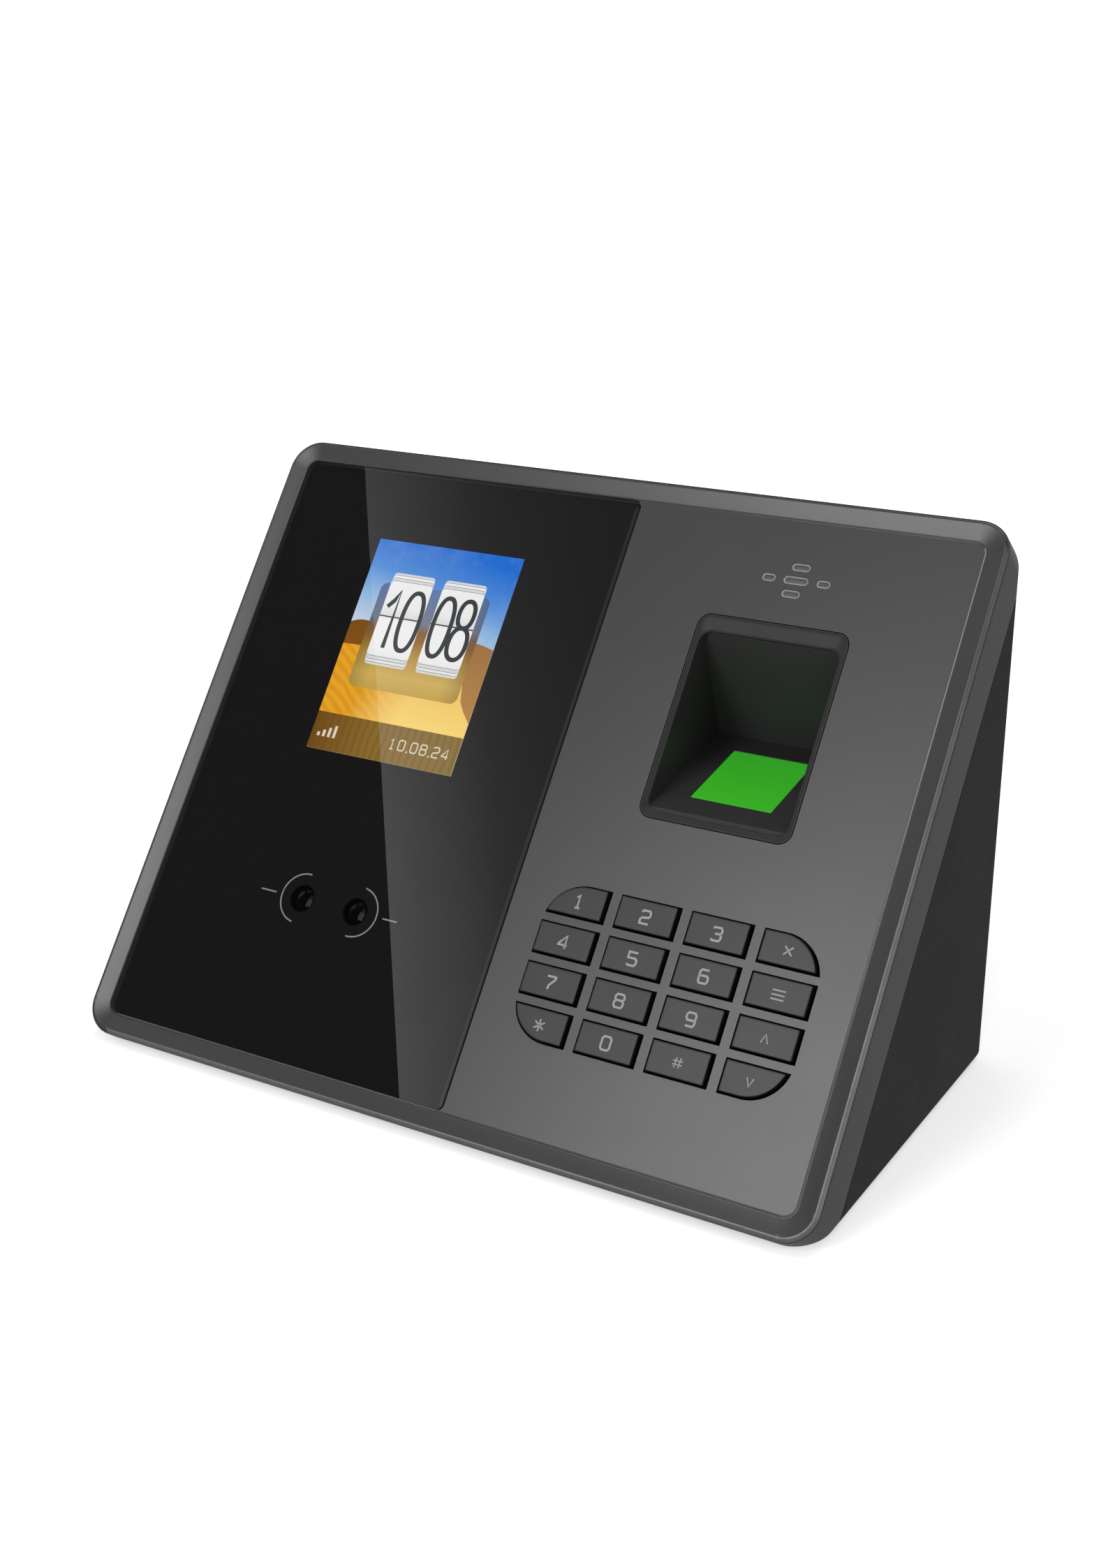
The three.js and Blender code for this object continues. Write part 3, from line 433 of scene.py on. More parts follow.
def finish(piece, slot, *materials, replaces=None, body=ROOT, angle=32):
    """Scales to metres, shades smooth up to angle, adds the materials, hangs the piece under its body and hides
    the part it replaces.
    """
    mesh = piece.data
    mesh.transform(Matrix.Scale(MM, 4))
    mesh.update()
    mesh.shade_smooth()
    mesh.set_sharp_from_angle(angle=math.radians(angle))
    modifier = piece.modifiers.new("wn", "WEIGHTED_NORMAL")
    modifier.keep_sharp = True
    modifier.weight = 80
    for name in materials:
        mesh.materials.append(MAT[name])
    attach(piece, body)
    if replaces:
        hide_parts(replaces)


def panel_faces(piece):
    """Each face of a finished piece with its centre in panel millimetres."""
    return [(face, PANEL_INV @ (face.center / MM)) for face in piece.data.polygons]


# ---------------------------------------------------------------- material tools
FLOOR_GLOW = 0.5       # what the floor near the terminal gives the camera besides its shading
FLOOR_SEEN = 0.33      # what all other rays see of the floor
AMBIENT = 0.13
WHITE = (1, 1, 1, 1)


def srgb(*channels):
    out = []
    for x in channels:
        x = x / 255.0
        out.append(x / 12.92 if x <= 0.04045 else ((x + 0.055) / 1.055) ** 2.4)
    return tuple(out) + (1.0,)


def grey(level):
    return srgb(level, level, level)


def scaled(colour, k):
    return tuple(x * k for x in colour[:3]) + (1,)


class Tree:
    """Node tree builder; values may be numbers, sockets or nodes (their first output)."""

    def __init__(self, owner, output="OutputMaterial"):
        self.owner = owner
        owner.use_nodes = True
        self.tree = owner.node_tree
        self.tree.nodes.clear()
        self.output = self.node(output)

    def node(self, kind, *values, operation=None, **inputs):
        """New node; values fill inputs by place, keywords by name with _ for a space."""
        made = self.tree.nodes.new("ShaderNode" + kind)
        if operation:
            made.operation = operation
        for index, value in enumerate(values):
            self.put(made, index, value)
        for name, value in inputs.items():
            self.put(made, name.replace("_", " "), value)
        return made

    def put(self, node, key, value):
        socket = node.inputs[key]
        if isinstance(value, bpy.types.Node):
            value = value.outputs[0]
        if isinstance(value, bpy.types.NodeSocket):
            self.tree.links.new(value, socket)
        else:
            socket.default_value = value

    def done(self, shader):
        self.put(self.output, "Surface", shader)
        return self.owner

    def coord(self, which="Object"):
        return self.node("TexCoord").outputs[which]

    def position(self):
        return self.node("NewGeometry").outputs["Position"]

    def camera_ray(self):
        return self.node("LightPath").outputs["Is Camera Ray"]

    def split(self):
        return self.node("SeparateXYZ", Vector=self.coord()).outputs

    def noise(self, scale, detail=3.0, rough=0.55, vector=None):
        texture = self.node("TexNoise", Scale=scale, Detail=detail, Roughness=rough)
        self.put(texture, "Vector", vector or self.coord())
        return texture.outputs["Fac"]

    def ramp(self, fac, stops):
        """Colour ramp through (position, colour) stops."""
        made = self.node("ValToRGB", Fac=fac)
        elements = made.color_ramp.elements
        while len(elements) < len(stops):
            elements.new(0.5)
        for element, (position, colour) in zip(elements, stops):
            element.position = position
            element.color = colour
        return made.outputs["Color"]

    def calc(self, operation, *values):
        return self.node("Math", *values, operation=operation).outputs[0]

    def add(self, a, b):
        return self.calc("ADD", a, b)

    def minus(self, a, b):
        return self.calc("SUBTRACT", a, b)

    def times(self, a, b):
        return self.calc("MULTIPLY", a, b)

    def dot(self, socket, direction):
        made = self.node("VectorMath", socket, direction, operation="DOT_PRODUCT")
        return made.outputs["Value"]

    def along_panel(self, position, direction):
        """World position measured from the panel's origin along a direction, metres."""
        return self.minus(self.dot(position, direction), PANEL_ORIGIN.dot(direction))

    def remap(self, value, span, to=(0, 1)):
        """Clamped linear map from span to another span."""
        return self.node("MapRange", Value=value, From_Min=span[0], From_Max=span[1],
                         To_Min=to[0], To_Max=to[1]).outputs[0]

    def mix(self, fac, a, b):
        made = self.node("Mix")
        made.data_type = "RGBA"
        for index, value in ((0, fac), (6, a), (7, b)):
            self.put(made, index, value)
        return made.outputs[2]

    def bump(self, height, strength, distance, **normal):
        return self.node("Bump", Strength=strength, Distance=distance, Height=height, **normal)

    def principled(self, colour, rough, **inputs):
        return self.node("BsdfPrincipled", Base_Color=colour, Roughness=rough, **inputs)


def new_material(name):
    return Tree(bpy.data.materials.new(name))


# ---------------------------------------------------------------- materials
def plastic(name, colour, rough, grain=0.15, grain_mm=0.35, spec=0.5, calm=1.0):
    """Moulded plastic: fine spark texture and a slow drift of colour and polish.

    grain and grain_mm are the texture's depth and size; calm scales the drift.
    """
    t = new_material(name)
    drift = t.noise(scale=38, rough=0.6)
    fine = t.noise(scale=1000 / grain_mm, detail=2, rough=0.5)
    speck = t.noise(scale=1000 / grain_mm * 0.45, rough=0.6)
    tint = 0.05 * calm
    base = t.mix(drift, scaled(colour, 1 - tint), scaled(colour, 1 + tint))
    base = t.mix(t.remap(speck, (0.35, 0.65)), base, t.mix(0.5, base, scaled(colour, 1.12)))
    polish = t.add(t.remap(drift, (0.3, 0.7), to=(-0.03 * calm, 0.03 * calm)), rough)
    polish = t.add(polish, t.remap(fine, (0.3, 0.7), to=(-0.05 * calm, 0.05 * calm)))
    waves = t.bump(drift, strength=0.03 * calm, distance=0.0004)
    normal = t.bump(fine, strength=grain, distance=0.00004, Normal=waves)
    return t.done(t.principled(base, polish, Normal=normal, Specular_IOR_Level=spec))


def metal(name, colour, rough, brushed=(1, 1, 40), scale=60):
    """Brushed metal; brushed stretches the streaks along each axis."""
    t = new_material(name)
    mapping = t.node("Mapping", Vector=t.coord(), Scale=brushed)
    streak = t.noise(scale=scale, detail=5, rough=0.65, vector=mapping.outputs[0])
    blot = t.noise(scale=90, rough=0.6)
    base = t.mix(blot, scaled(colour, 0.85), scaled(colour, 1.1))
    base = t.mix(t.remap(streak, (0.3, 0.7), to=(0, 0.35)), base, scaled(colour, 1.25))
    polish = t.add(t.remap(streak, (0.3, 0.7), to=(-0.08, 0.12)), rough)
    normal = t.bump(streak, strength=0.12, distance=0.00005)
    return t.done(t.principled(base, polish, Metallic=1.0, Normal=normal))


def rubber(name, colour, rough=0.75):
    t = new_material(name)
    fine, blot = t.noise(scale=1400, rough=0.6), t.noise(scale=70, detail=4, rough=0.6)
    base = t.mix(t.remap(blot, (0.35, 0.7)), scaled(colour, 0.85), scaled(colour, 1.35))
    polish = t.remap(fine, (0.3, 0.7), to=(rough - 0.08, rough + 0.1))
    normal = t.bump(fine, strength=0.25, distance=0.00008)
    return t.done(t.principled(base, polish, Normal=normal, Specular_IOR_Level=0.35))


def circuit_board(name):
    """Green solder mask over tracks, with scattered bright pads."""
    t = new_material(name)
    coord = t.coord()
    tracks = t.node("TexBrick", Vector=coord, Scale=170.0, Mortar_Size=0.055,
                    Brick_Width=0.9, Row_Height=0.28).outputs["Fac"]
    cells = t.node("TexVoronoi", Vector=coord, Scale=240.0)
    pads = t.remap(cells.outputs["Distance"], (0.10, 0.13), to=(1, 0))
    pads = t.times(pads, t.remap(t.noise(scale=60, detail=2), (0.5, 0.56)))
    mask = t.mix(tracks, (0.008, 0.085, 0.03, 1), (0.02, 0.17, 0.06, 1))
    base = t.mix(pads, mask, (0.62, 0.6, 0.5, 1))
    return t.done(t.principled(base, t.remap(pads, (0, 1), to=(0.32, 0.25)), Metallic=pads,
                               Normal=t.bump(tracks, strength=0.2, distance=0.00005)))


def shrink_wrap(name, colour):
    t = new_material(name)
    crease = t.noise(scale=55, detail=5, rough=0.7)
    base = t.mix(crease, scaled(colour, 0.8), scaled(colour, 1.25))
    return t.done(t.principled(base, t.remap(crease, (0.3, 0.7), to=(0.2, 0.4)),
                               Normal=t.bump(crease, strength=0.35, distance=0.0006)))


def ribbon_cable(name):
    """Amber film with parallel conductors."""
    t = new_material(name)
    wave = t.node("TexWave", Vector=t.coord(), Scale=260.0)
    line = t.remap(wave.outputs["Fac"], (0.35, 0.6))
    base = t.mix(line, (0.42, 0.19, 0.035, 1), (0.62, 0.34, 0.09, 1))
    return t.done(t.principled(base, 0.35, Normal=t.bump(line, strength=0.2, distance=0.00006)))


def woven_cloth(name, low, high, pitch_mm=0.42):
    t = new_material(name)
    rate = 2 * math.pi / (pitch_mm * MM)
    place = t.split()
    wave_x = t.calc("SINE", t.times(place["X"], rate))
    wave_z = t.calc("SINE", t.times(place["Z"], rate * 1.25))
    weave = t.times(wave_x, wave_z)
    base = t.mix(t.remap(weave, (-0.4, 0.5)), low, high)
    return t.done(t.principled(base, 0.7, Normal=t.bump(weave, strength=0.5, distance=0.0002)))


def ink(name, colour, rough=0.5, spec=0.2):
    t = new_material(name)
    fine = t.noise(scale=500, rough=0.6)
    base = t.mix(fine, scaled(colour, 0.85), scaled(colour, 1.15))
    polish = t.remap(fine, (0.3, 0.7), to=(rough - 0.05, rough + 0.08))
    return t.done(t.principled(base, polish, Specular_IOR_Level=spec))


def powder_coat(name, colour):
    t = new_material(name)
    peel, drift = t.noise(scale=900, rough=0.5), t.noise(scale=30)
    base = t.mix(drift, scaled(colour, 0.93), scaled(colour, 1.07))
    return t.done(t.principled(base, t.remap(peel, (0.3, 0.7), to=(0.36, 0.5)),
                               Normal=t.bump(peel, strength=0.35, distance=0.00012)))


def coated_lens(name):
    """Coated dark lens; its base colour lightens and turns bluish towards grazing angles, a painted sheen."""
    t = new_material(name)
    facing = t.node("LayerWeight", Blend=0.35).outputs["Facing"]
    base = t.ramp(facing, [
        (0.0, (0.0006, 0.0006, 0.0012, 1)), (0.6, (0.0012, 0.001, 0.0024, 1)),
        (1.0, (0.004, 0.005, 0.007, 1)),
    ])
    polish = t.remap(t.noise(scale=900, detail=2), (0.3, 0.7), to=(0.05, 0.07))
    return t.done(t.principled(base, polish, Specular_IOR_Level=0.055))


def green_optic(name):
    t = new_material(name)
    drift = t.noise(scale=300, detail=2)
    base = t.mix(drift, (0.10, 0.42, 0.08, 1), (0.16, 0.55, 0.12, 1))
    polish = t.remap(drift, (0.3, 0.7), to=(0.05, 0.12))
    return t.done(t.principled(base, polish, Coat_Weight=0.5))


def painted_edge_highlight(name, low, high, v_span, rough):
    """Painted highlight on the crown of an edge; its tone drifts from low to high over v_span (mm)."""
    t = new_material(name)
    v = t.along_panel(t.position(), V_DIR)
    base = t.mix(t.remap(v, (v_span[0] * MM, v_span[1] * MM)), low, high)
    wear = t.noise(scale=420, rough=0.6)
    fine = t.noise(scale=2600, detail=2, rough=0.5)
    base = t.mix(t.remap(wear, (0.3, 0.75), to=(0.0, 0.22)), base, grey(60))
    return t.done(t.principled(base, t.remap(wear, (0.3, 0.7), to=(rough - 0.04, rough + 0.06)),
                               Normal=t.bump(fine, strength=0.15, distance=0.00004)))


# The front glass carries a painted reflection, emitted for camera rays: a dim room, a paler floor
# and one reflector that lies in a plane parallel to the panel. The reflector's straight left edge
# slants across the pane.
CARD_N = 500.0                     # n of the reflector's plane, mm
CARD_STRENGTH = 1.25
CARD_EDGE = ((-75.7, 76.4), (-5.0, -76.7))    # the edge's image on the pane, (u, v)
CARD_FALL = 0.26                   # the brightness ramp's length from the edge, m
# Brightness from the edge: part of CARD_FALL, level
CARD_RAMP = [
    (0.0, 1.0), (0.086, 0.78), (0.172, 0.6), (0.284, 0.34), (0.38, 0.25), (0.54, 0.17),
    (0.75, 0.12), (1.0, 0.10),
]


def mirrored(u, v):
    """Where the mirror ray of panel point (u, v) meets the reflector's plane."""
    f = CARD_N / EYE_PANEL.z
    return (u + f * (u - EYE_PANEL.x), v + f * (v - EYE_PANEL.y))


def painted_reflector(t, ray, across, up, out):
    """Brightness of the painted reflector along a mirror ray from a panel place in metres."""
    ray_n, ray_v, ray_u = (t.dot(ray, d) for d in (N_DIR, V_DIR, U_DIR))
    reach = t.calc("DIVIDE", t.minus(CARD_N * MM, out), t.calc("MAXIMUM", ray_n, 0.05))
    hit_u = t.add(across, t.times(ray_u, reach))
    hit_v = t.add(up, t.times(ray_v, reach))
    (top_u, top_v), (foot_u, foot_v) = (mirrored(*end) for end in CARD_EDGE)
    slope = (foot_u - top_u) / (foot_v - top_v)
    edge_u = t.add(t.times(t.minus(hit_v, top_v * MM), slope), top_u * MM)
    beyond = t.minus(hit_u, edge_u)
    level = t.ramp(t.remap(beyond, (0.0, CARD_FALL)), [(p, (x, x, x, 1)) for p, x in CARD_RAMP])
    level = t.times(t.node("RGBToBW", Color=level),
                    t.remap(hit_v, (0.05, 0.275), to=(CARD_STRENGTH * 1.16, CARD_STRENGTH * 0.70)))
    shown = t.times(t.calc("GREATER_THAN", beyond, 0.0), t.calc("GREATER_THAN", ray_n, 0.05))
    # it fades out at its right, top and bottom
    shown = t.times(shown, t.remap(hit_u, (-0.262, -0.232), to=(1.0, 0.0)))
    shown = t.times(shown, t.remap(hit_v, (0.30, 0.34), to=(1.0, 0.0)))
    shown = t.times(shown, t.remap(hit_v, (-0.30, -0.16), to=(0.0, 1.0)))
    return t.times(level, shown)


def window_glass(name, ior=1.5, tint=0.97, smudge=0.03):
    """Thin clear pane: what is behind it shows, and its outer face emits a painted reflection that grows with the
    angle.
    """
    t = new_material(name)
    smear = t.remap(t.noise(scale=26, detail=4, rough=0.6), (0.35, 0.75),
                    to=(1.0 - smudge, 1.0 + smudge))
    fine = t.remap(t.noise(scale=700, detail=2, rough=0.6), (0.4, 0.8), to=(-0.01, 0.01))
    geometry = t.node("NewGeometry")
    front = t.minus(1.0, geometry.outputs["Backfacing"])
    mirror = t.times(t.times(t.node("Fresnel", IOR=ior), t.add(smear, fine)), front)
    ray = t.coord("Reflection")
    position = geometry.outputs["Position"]
    out, up, across = (t.along_panel(position, d) for d in (N_DIR, V_DIR, U_DIR))
    card = painted_reflector(t, ray, across, up, out)
    room = t.remap(t.dot(ray, Vector((0, 0, 1))), (-0.12, 0.10), to=(FLOOR_SEEN, AMBIENT))
    total = t.add(card, room)
    # the painted reflection is weaker over the two camera windows
    for centre_u in CAMERA_SEEN_U:
        du, dv = t.minus(across, centre_u * MM), t.minus(up, CAMERA_SEEN_V * MM)
        distance = t.calc("SQRT", t.add(t.times(du, du), t.times(dv, dv)))
        mirror = t.times(mirror, t.remap(distance, (0.0031, 0.0036), to=(0.25, 1.0)))
    strength = t.times(t.times(mirror, total), t.camera_ray())
    painted_reflection = t.node("Emission", Color=WHITE, Strength=strength)
    clear = t.times(t.minus(1.0, mirror), tint)
    see_through = t.node("BsdfTransparent", Color=t.node("CombineColor", clear, clear, clear))
    material = t.done(t.node("AddShader", see_through, painted_reflection))
    material.cycles.emission_sampling = "NONE"
    return material


def lit_platen(name):
    """Plate lit from below: even green, a little brighter towards its front edge."""
    t = new_material(name)
    low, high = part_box("platen_glass")
    depth = t.remap(t.split()["Y"], (low.y, high.y))
    blot = t.noise(scale=110, detail=2, rough=0.5)
    tone = t.add(t.times(depth, 0.75), t.times(blot, 0.25))
    colour = t.ramp(tone, [(0.0, srgb(62, 184, 40)), (0.45, srgb(55, 172, 36)),
                           (1.0, srgb(50, 160, 38))])
    gloss = t.node("BsdfGlossy", Roughness=t.remap(blot, (0.3, 0.7), to=(0.05, 0.12)), Color=WHITE)
    glow = t.node("Emission", Color=colour, Strength=0.96)
    return t.done(t.node("MixShader", t.node("Fresnel", IOR=1.35), glow, gloss))


MAT = {
    "cover": plastic("cover_plastic", grey(53), rough=0.30, grain=0.10, grain_mm=0.34, calm=0.3),
    "housing": plastic("housing_plastic", grey(33), rough=0.5, grain=0.3, grain_mm=0.5, spec=0.15),
    "guide": plastic("guide_plastic", grey(44), rough=0.42, grain=0.12, grain_mm=0.3, spec=0.2),
    "key_top": plastic("key_paint", grey(43), rough=0.36, grain=0.1, grain_mm=0.22, spec=0.35,
                       calm=0.6),
    # key sides far darker than the tops: painted shade
    "key_side_shade": plastic("key_base_painted_shade", grey(16), rough=0.55, grain=0.1, grain_mm=0.25, spec=0.15),
    "black": plastic("black_plastic", srgb(20, 20, 21), rough=0.6, spec=0.1),
    # lighter plastic for the well's back wall: painted light bounced into the well
    "guide_back_painted_light": plastic("guide_well_painted_light", grey(62), rough=0.55, grain=0.12, grain_mm=0.3,
                          spec=0.2),
    "legend": ink("legend_silver", srgb(168, 169, 171), rough=0.45),
    "ink_black": ink("ink_black", (0.0055, 0.0055, 0.0055), rough=0.8, spec=0.0),
    # paler line under the pane's right edge: a painted highlight
    "ink_line_painted_highlight": ink("ink_line_painted_highlight", (0.028, 0.028, 0.028), rough=0.8, spec=0.0),
    "ink_silver": ink("ink_silver", srgb(150, 151, 153), rough=0.4),
    # painted reflection: the pane emits what it would mirror, for camera rays only
    "glass": window_glass("cover_glass"),
    # dark ground edge of the pane: painted shade of the gap beside it
    "ground_edge_shade": plastic("ground_glass_edge_painted_shade", grey(24), rough=0.6, grain=0.1, spec=0.1),
    # painted highlights on the cover's bead and crest, lighter towards one end
    "bead_highlight": painted_edge_highlight("cover_bead_painted_highlight", grey(66), grey(146), v_span=(-45, 25), rough=0.28),
    "crest_highlight": painted_edge_highlight("crest_highlight", grey(108), grey(76), v_span=(-40, 45), rough=0.30),
    "barrel": plastic("camera_barrel", (0.0012, 0.0012, 0.0012), rough=0.7, spec=0.02),
    "steel": metal("zinc_steel", (0.60, 0.61, 0.62), rough=0.28),
    "screw": metal("screw_zinc", (0.50, 0.51, 0.52), rough=0.3, brushed=(1, 1, 1), scale=500),
    "pcb": circuit_board("circuit_board"),
    "rubber": rubber("foot_rubber", (0.014, 0.014, 0.015)),
    "silicone": rubber("silicone_grey", (0.24, 0.25, 0.26), rough=0.6),
    "foam": rubber("foam_black", (0.012, 0.012, 0.013), rough=0.9),
    "cable": rubber("cable_sheath", (0.02, 0.02, 0.023), rough=0.55),
    "battery": shrink_wrap("battery_wrap", (0.03, 0.09, 0.30)),
    "ribbon": ribbon_cable("ribbon_amber"),
    "cloth": woven_cloth("speaker_cloth", grey(92), grey(132)),
    "trim": plastic("slot_trim", grey(146), rough=0.35),
    "wall": powder_coat("powder_coat", (0.40, 0.41, 0.42)),
    "lens": coated_lens("camera_lens"),
    "optic": green_optic("prism_acrylic"),
    "platen": lit_platen("platen_lit"),
}

# ---------------------------------------------------------------- case shells
DEEP_N = -130              # far inside the case
FACE_SEG = 20
EDGE_R = 1.05              # rounding of the cover's edge
EDGE_ANGLES = (0, 14, 28, 42, 56, 68, 79, 89, 98.3)
SLOPE_PARTS = (0.94, 0.8, 0.62, 0.44, 0.27, 0.14)    # from the crest down to the field
SLOPE_SAG = 0.035
# Fine bead around the field: part of the way out to the crest, n
BEAD = (
    (0.098, 0.062), (0.078, 0.072), (0.058, 0.102), (0.042, 0.128), (0.026, 0.136),
    (0.010, 0.122),
)


def face_levels():
    """The cover's outside, from deep inside the case up to the flat field."""
    def ring(distance):
        return grown(FACE, FACE_R, -distance, FACE_SEG)

    levels = [(ring(0), DEEP_N), (ring(0), -14.0)]
    for degrees in EDGE_ANGLES:
        a = math.radians(degrees)
        levels.append((ring(EDGE_R * (1 - math.cos(a))), CREST - EDGE_R + EDGE_R * math.sin(a)))
    edge, top = levels[-1]
    field = grown(FIELD, FIELD_R, 0, FACE_SEG)
    for k in SLOPE_PARTS:
        levels.append((blend(field, edge, k), top * k - SLOPE_SAG * math.sin(math.pi * k)))
    levels += [(blend(field, edge, k), n) for k, n in BEAD]
    levels += [(field, 0.085), (grown(FIELD, FIELD_R, -0.16, FACE_SEG), 0.0)]
    return levels


def trim_to_case(piece, inset_by, z):
    """Cuts a body standing on the panel to the case's heel, back and base."""
    back, half = BACK_Y - inset_by, HALF_W - inset_by
    back_r, side_r = BACK_R - inset_by / 4, SIDE_R - inset_by / 4
    from_side = rounded(-160, back, z, 260, [HEEL_R - inset_by / 2, 0, 0, 0], 14)
    boolean(piece, prism_x("cut", from_side, -150, 150), "INTERSECT")
    from_above = rounded(-half, half, -300, back, [0, back_r, back_r, 0], 6)
    boolean(piece, prism("cut", from_above, -50, 300), "INTERSECT")
    from_front = rounded(-half, half, z, 400, [side_r, 0, 0, side_r], 6)
    boolean(piece, prism_y("cut", from_front, -300, 300), "INTERSECT")
    return piece


def hollow_case(name):
    """The case's full outside with its inside taken out."""
    piece = trim_to_case(loft(name, face_levels(), PANEL), 0, OUTER_BASE_Z)
    cavity = prism("cavity", grown(FACE, FACE_R, -WALL), DEEP_N, -SKIN, PANEL)
    boolean(piece, trim_to_case(cavity, WALL, BASE_Z + WALL))
    return piece


def make_cover():
    piece = hollow_case("cover_shell")
    boolean(piece, box("cut", -150, 150, -150, 150, -200, PARTING, PANEL))
    pocket = rounded(-FIELD_U - 0.1, GLASS_U1 + 0.26, -FIELD_V - 0.1, FIELD_V + 0.1,
                     [2, 2, 3.1, 3.1])
    boolean(piece, prism("pocket", pocket, -1.5, 5, PANEL))
    openings = [
        rect(-67.8, -17.0, -7.7, 62.3),            # behind the display
        rounded(-72, -44, -66, -54, 2, 6),         # low on the left
        grown(RIM, RIM_R, GAP),                    # finger guide
    ]
    openings += [circle(u, CAMERA_V, 4.8, 40) for u in CAMERA_U]
    openings += [slot_outline(slot, 0, 10) for slot in SLOTS]
    openings += [key_outline(row, column, 0.0, 0.0) for row in range(4) for column in range(4)]
    tools = [prism("cut", outline, -5, 1, PANEL) for outline in openings]
    boolean(piece, fuse(tools, "tools"))
    tidy(piece)
    bevel(piece, width=0.15, seg=2)
    finish(piece, "cover_plastic", "cover", "bead_highlight", "crest_highlight", replaces="front_cover")
    # painted highlights: the bead at the far right and the crest along the right and the foot are lighter where
    # they would catch the light
    for face, (u, v, n) in panel_faces(piece):
        from_field = outside(u, v, FIELD, FIELD_R)
        if n > 0.088 and -0.02 < from_field < 0.27 and u > 80 and v < FIELD_V - 1.2:
            face.material_index = 1
        on_crest = CREST - 0.50 < n < CREST + 0.1 and outside(u, v, FACE, FACE_R) > -1.3
        if on_crest and (u > 88 or v < FACE_V0 + 6) and u > -80 and v < FACE_V1 - 6:
            face.material_index = 2


SCREW_X, BACK_SCREW_Z, BASE_SCREW_Y = 92.4, 106, -26
FOOT_X, FOOT_Y = 78, (-23, 37)
# Openings low in the back: x, width, height
PORTS = ((-14, 16, 13.4), (10.5, 14.4, 7.0), (31, 9, 11))
PORT_Z, PORT_GAP = 7.9, 0.4
VENT_X, VENT_HALF, VENT_Z, VENT_PITCH, VENT_H = 74, 11, 60, 6, 2


def screw_cylinders(side, radius, seg, shallow, deep):
    """Cylinders at one side's back and base screws, between two depths under the skin."""
    at_back = circle(side * SCREW_X, BACK_SCREW_Z, radius, seg)
    at_base = circle(side * SCREW_X, BASE_SCREW_Y, radius, seg)
    return [prism_y("screw_back", at_back, BACK_Y - deep, BACK_Y - shallow),
            prism("screw_base", at_base, BASE_Z + shallow, BASE_Z + deep)]


def make_housing():
    piece = hollow_case("housing_shell")
    boolean(piece, box("cut", -150, 150, -150, 150, PARTING - GAP, 200, PANEL))
    # stepped lips reaching into the cover, and bosses for the screws
    lip_inner, lip_outer = HALF_W - WALL - GAP - 1.2, HALF_W - WALL - GAP
    lips = ((lip_outer, -10.6), (HALF_W - WALL + 0.8, PARTING - 0.6))
    for side in (-1, 1):
        for outer, top in lips:
            x0, x1 = sorted((side * lip_inner, side * outer))
            boolean(piece, box("lip", x0, x1, -44, 44, -15, top, PANEL), "UNION")
        for boss in screw_cylinders(side, radius=4.5, seg=32, shallow=1, deep=4.5):
            boolean(piece, boss, "UNION")
    # thickened back behind the recess
    boolean(piece, box("pad", -53, 53, BACK_Y - 4, BACK_Y - 1.5, 43, 109), "UNION")
    recess = rounded(-50.3, 50.3, 45.7, 106.3, 4.3, 10)
    tools = [prism_y("cut", recess, BACK_Y - 1.3, BACK_Y + 5)]
    for side in (-1, 1):
        tools += screw_cylinders(side, radius=3.2, seg=40, shallow=-5, deep=2.1)
    for x in (-FOOT_X, FOOT_X):
        for y in FOOT_Y:
            tools.append(prism("cut", circle(x, y, 6.3), BASE_Z - 5, BASE_Z + 1))
    for x, width, height in PORTS:
        tools.append(box("cut", x - width / 2 - PORT_GAP, x + width / 2 + PORT_GAP,
                         BACK_Y - 8, BACK_Y + 5, PORT_Z - PORT_GAP, PORT_Z + height + PORT_GAP))
    for i in range(5):
        z = VENT_Z + i * VENT_PITCH
        for x in (-VENT_X, VENT_X):
            vent = rounded(x - VENT_HALF, x + VENT_HALF, z, z + VENT_H, 0.99, 8)
            tools.append(prism_y("cut", vent, BACK_Y - 8, BACK_Y + 5))
    boolean(piece, fuse(tools, "tools"))
    # holes within the features above
    tools = []
    for side in (-1, 1):
        tools += screw_cylinders(side, radius=1.8, seg=24, shallow=1, deep=8)
    for x in (-28, 28):
        tools.append(box("cut", x - 5, x + 5, BACK_Y - 8, BACK_Y, 94, 100))
    tools.append(prism_y("cut", rounded(-14, 14, 66, 86, 3, 8), BACK_Y - 8, BACK_Y))
    boolean(piece, fuse(tools, "tools"))
    tidy(piece)
    bevel(piece, width=0.35, seg=3)
    finish(piece, "housing_plastic", "housing", replaces="rear_housing")


make_cover()
make_housing()

# ---------------------------------------------------------------- finger guide
# The well's profile in (v, n): a floor from the lip to the deep corner, then a back wall.
WELL_TOP = Vector((MOUTH[3], -1.0))
WELL_DEEP = Vector((30.9, -26.7))
WELL_LIP = Vector((MOUTH[2], -0.4))
WELL_T = 1.8
floor_dir = (WELL_LIP - WELL_DEEP).normalized()
back_dir = (WELL_TOP - WELL_DEEP).normalized()

# The platen lies in the well's floor; FLOOR is its frame.
PLATEN_HALF_U, PLATEN_HALF_V = 10, 11.6
PLATEN_U, PLATEN_V = 49.4, 17.0
PLATEN_N = WELL_DEEP.y + (PLATEN_V - WELL_DEEP.x) * floor_dir.y / floor_dir.x
FLOOR = (PANEL @ Matrix.Translation((PLATEN_U, PLATEN_V, PLATEN_N))
         @ Matrix.Rotation(math.atan2(-floor_dir.y, -floor_dir.x), 4, "X"))

# Funnel from the mouth to the rim: part of the way out, n
FUNNEL = ((0.06, -0.82), (0.2, -0.68), (0.85, -0.3))


def at_n(point, direction, n):
    """Where a profile line reaches height n."""
    return (point.x + direction.x * (n - point.y) / direction.y, n)


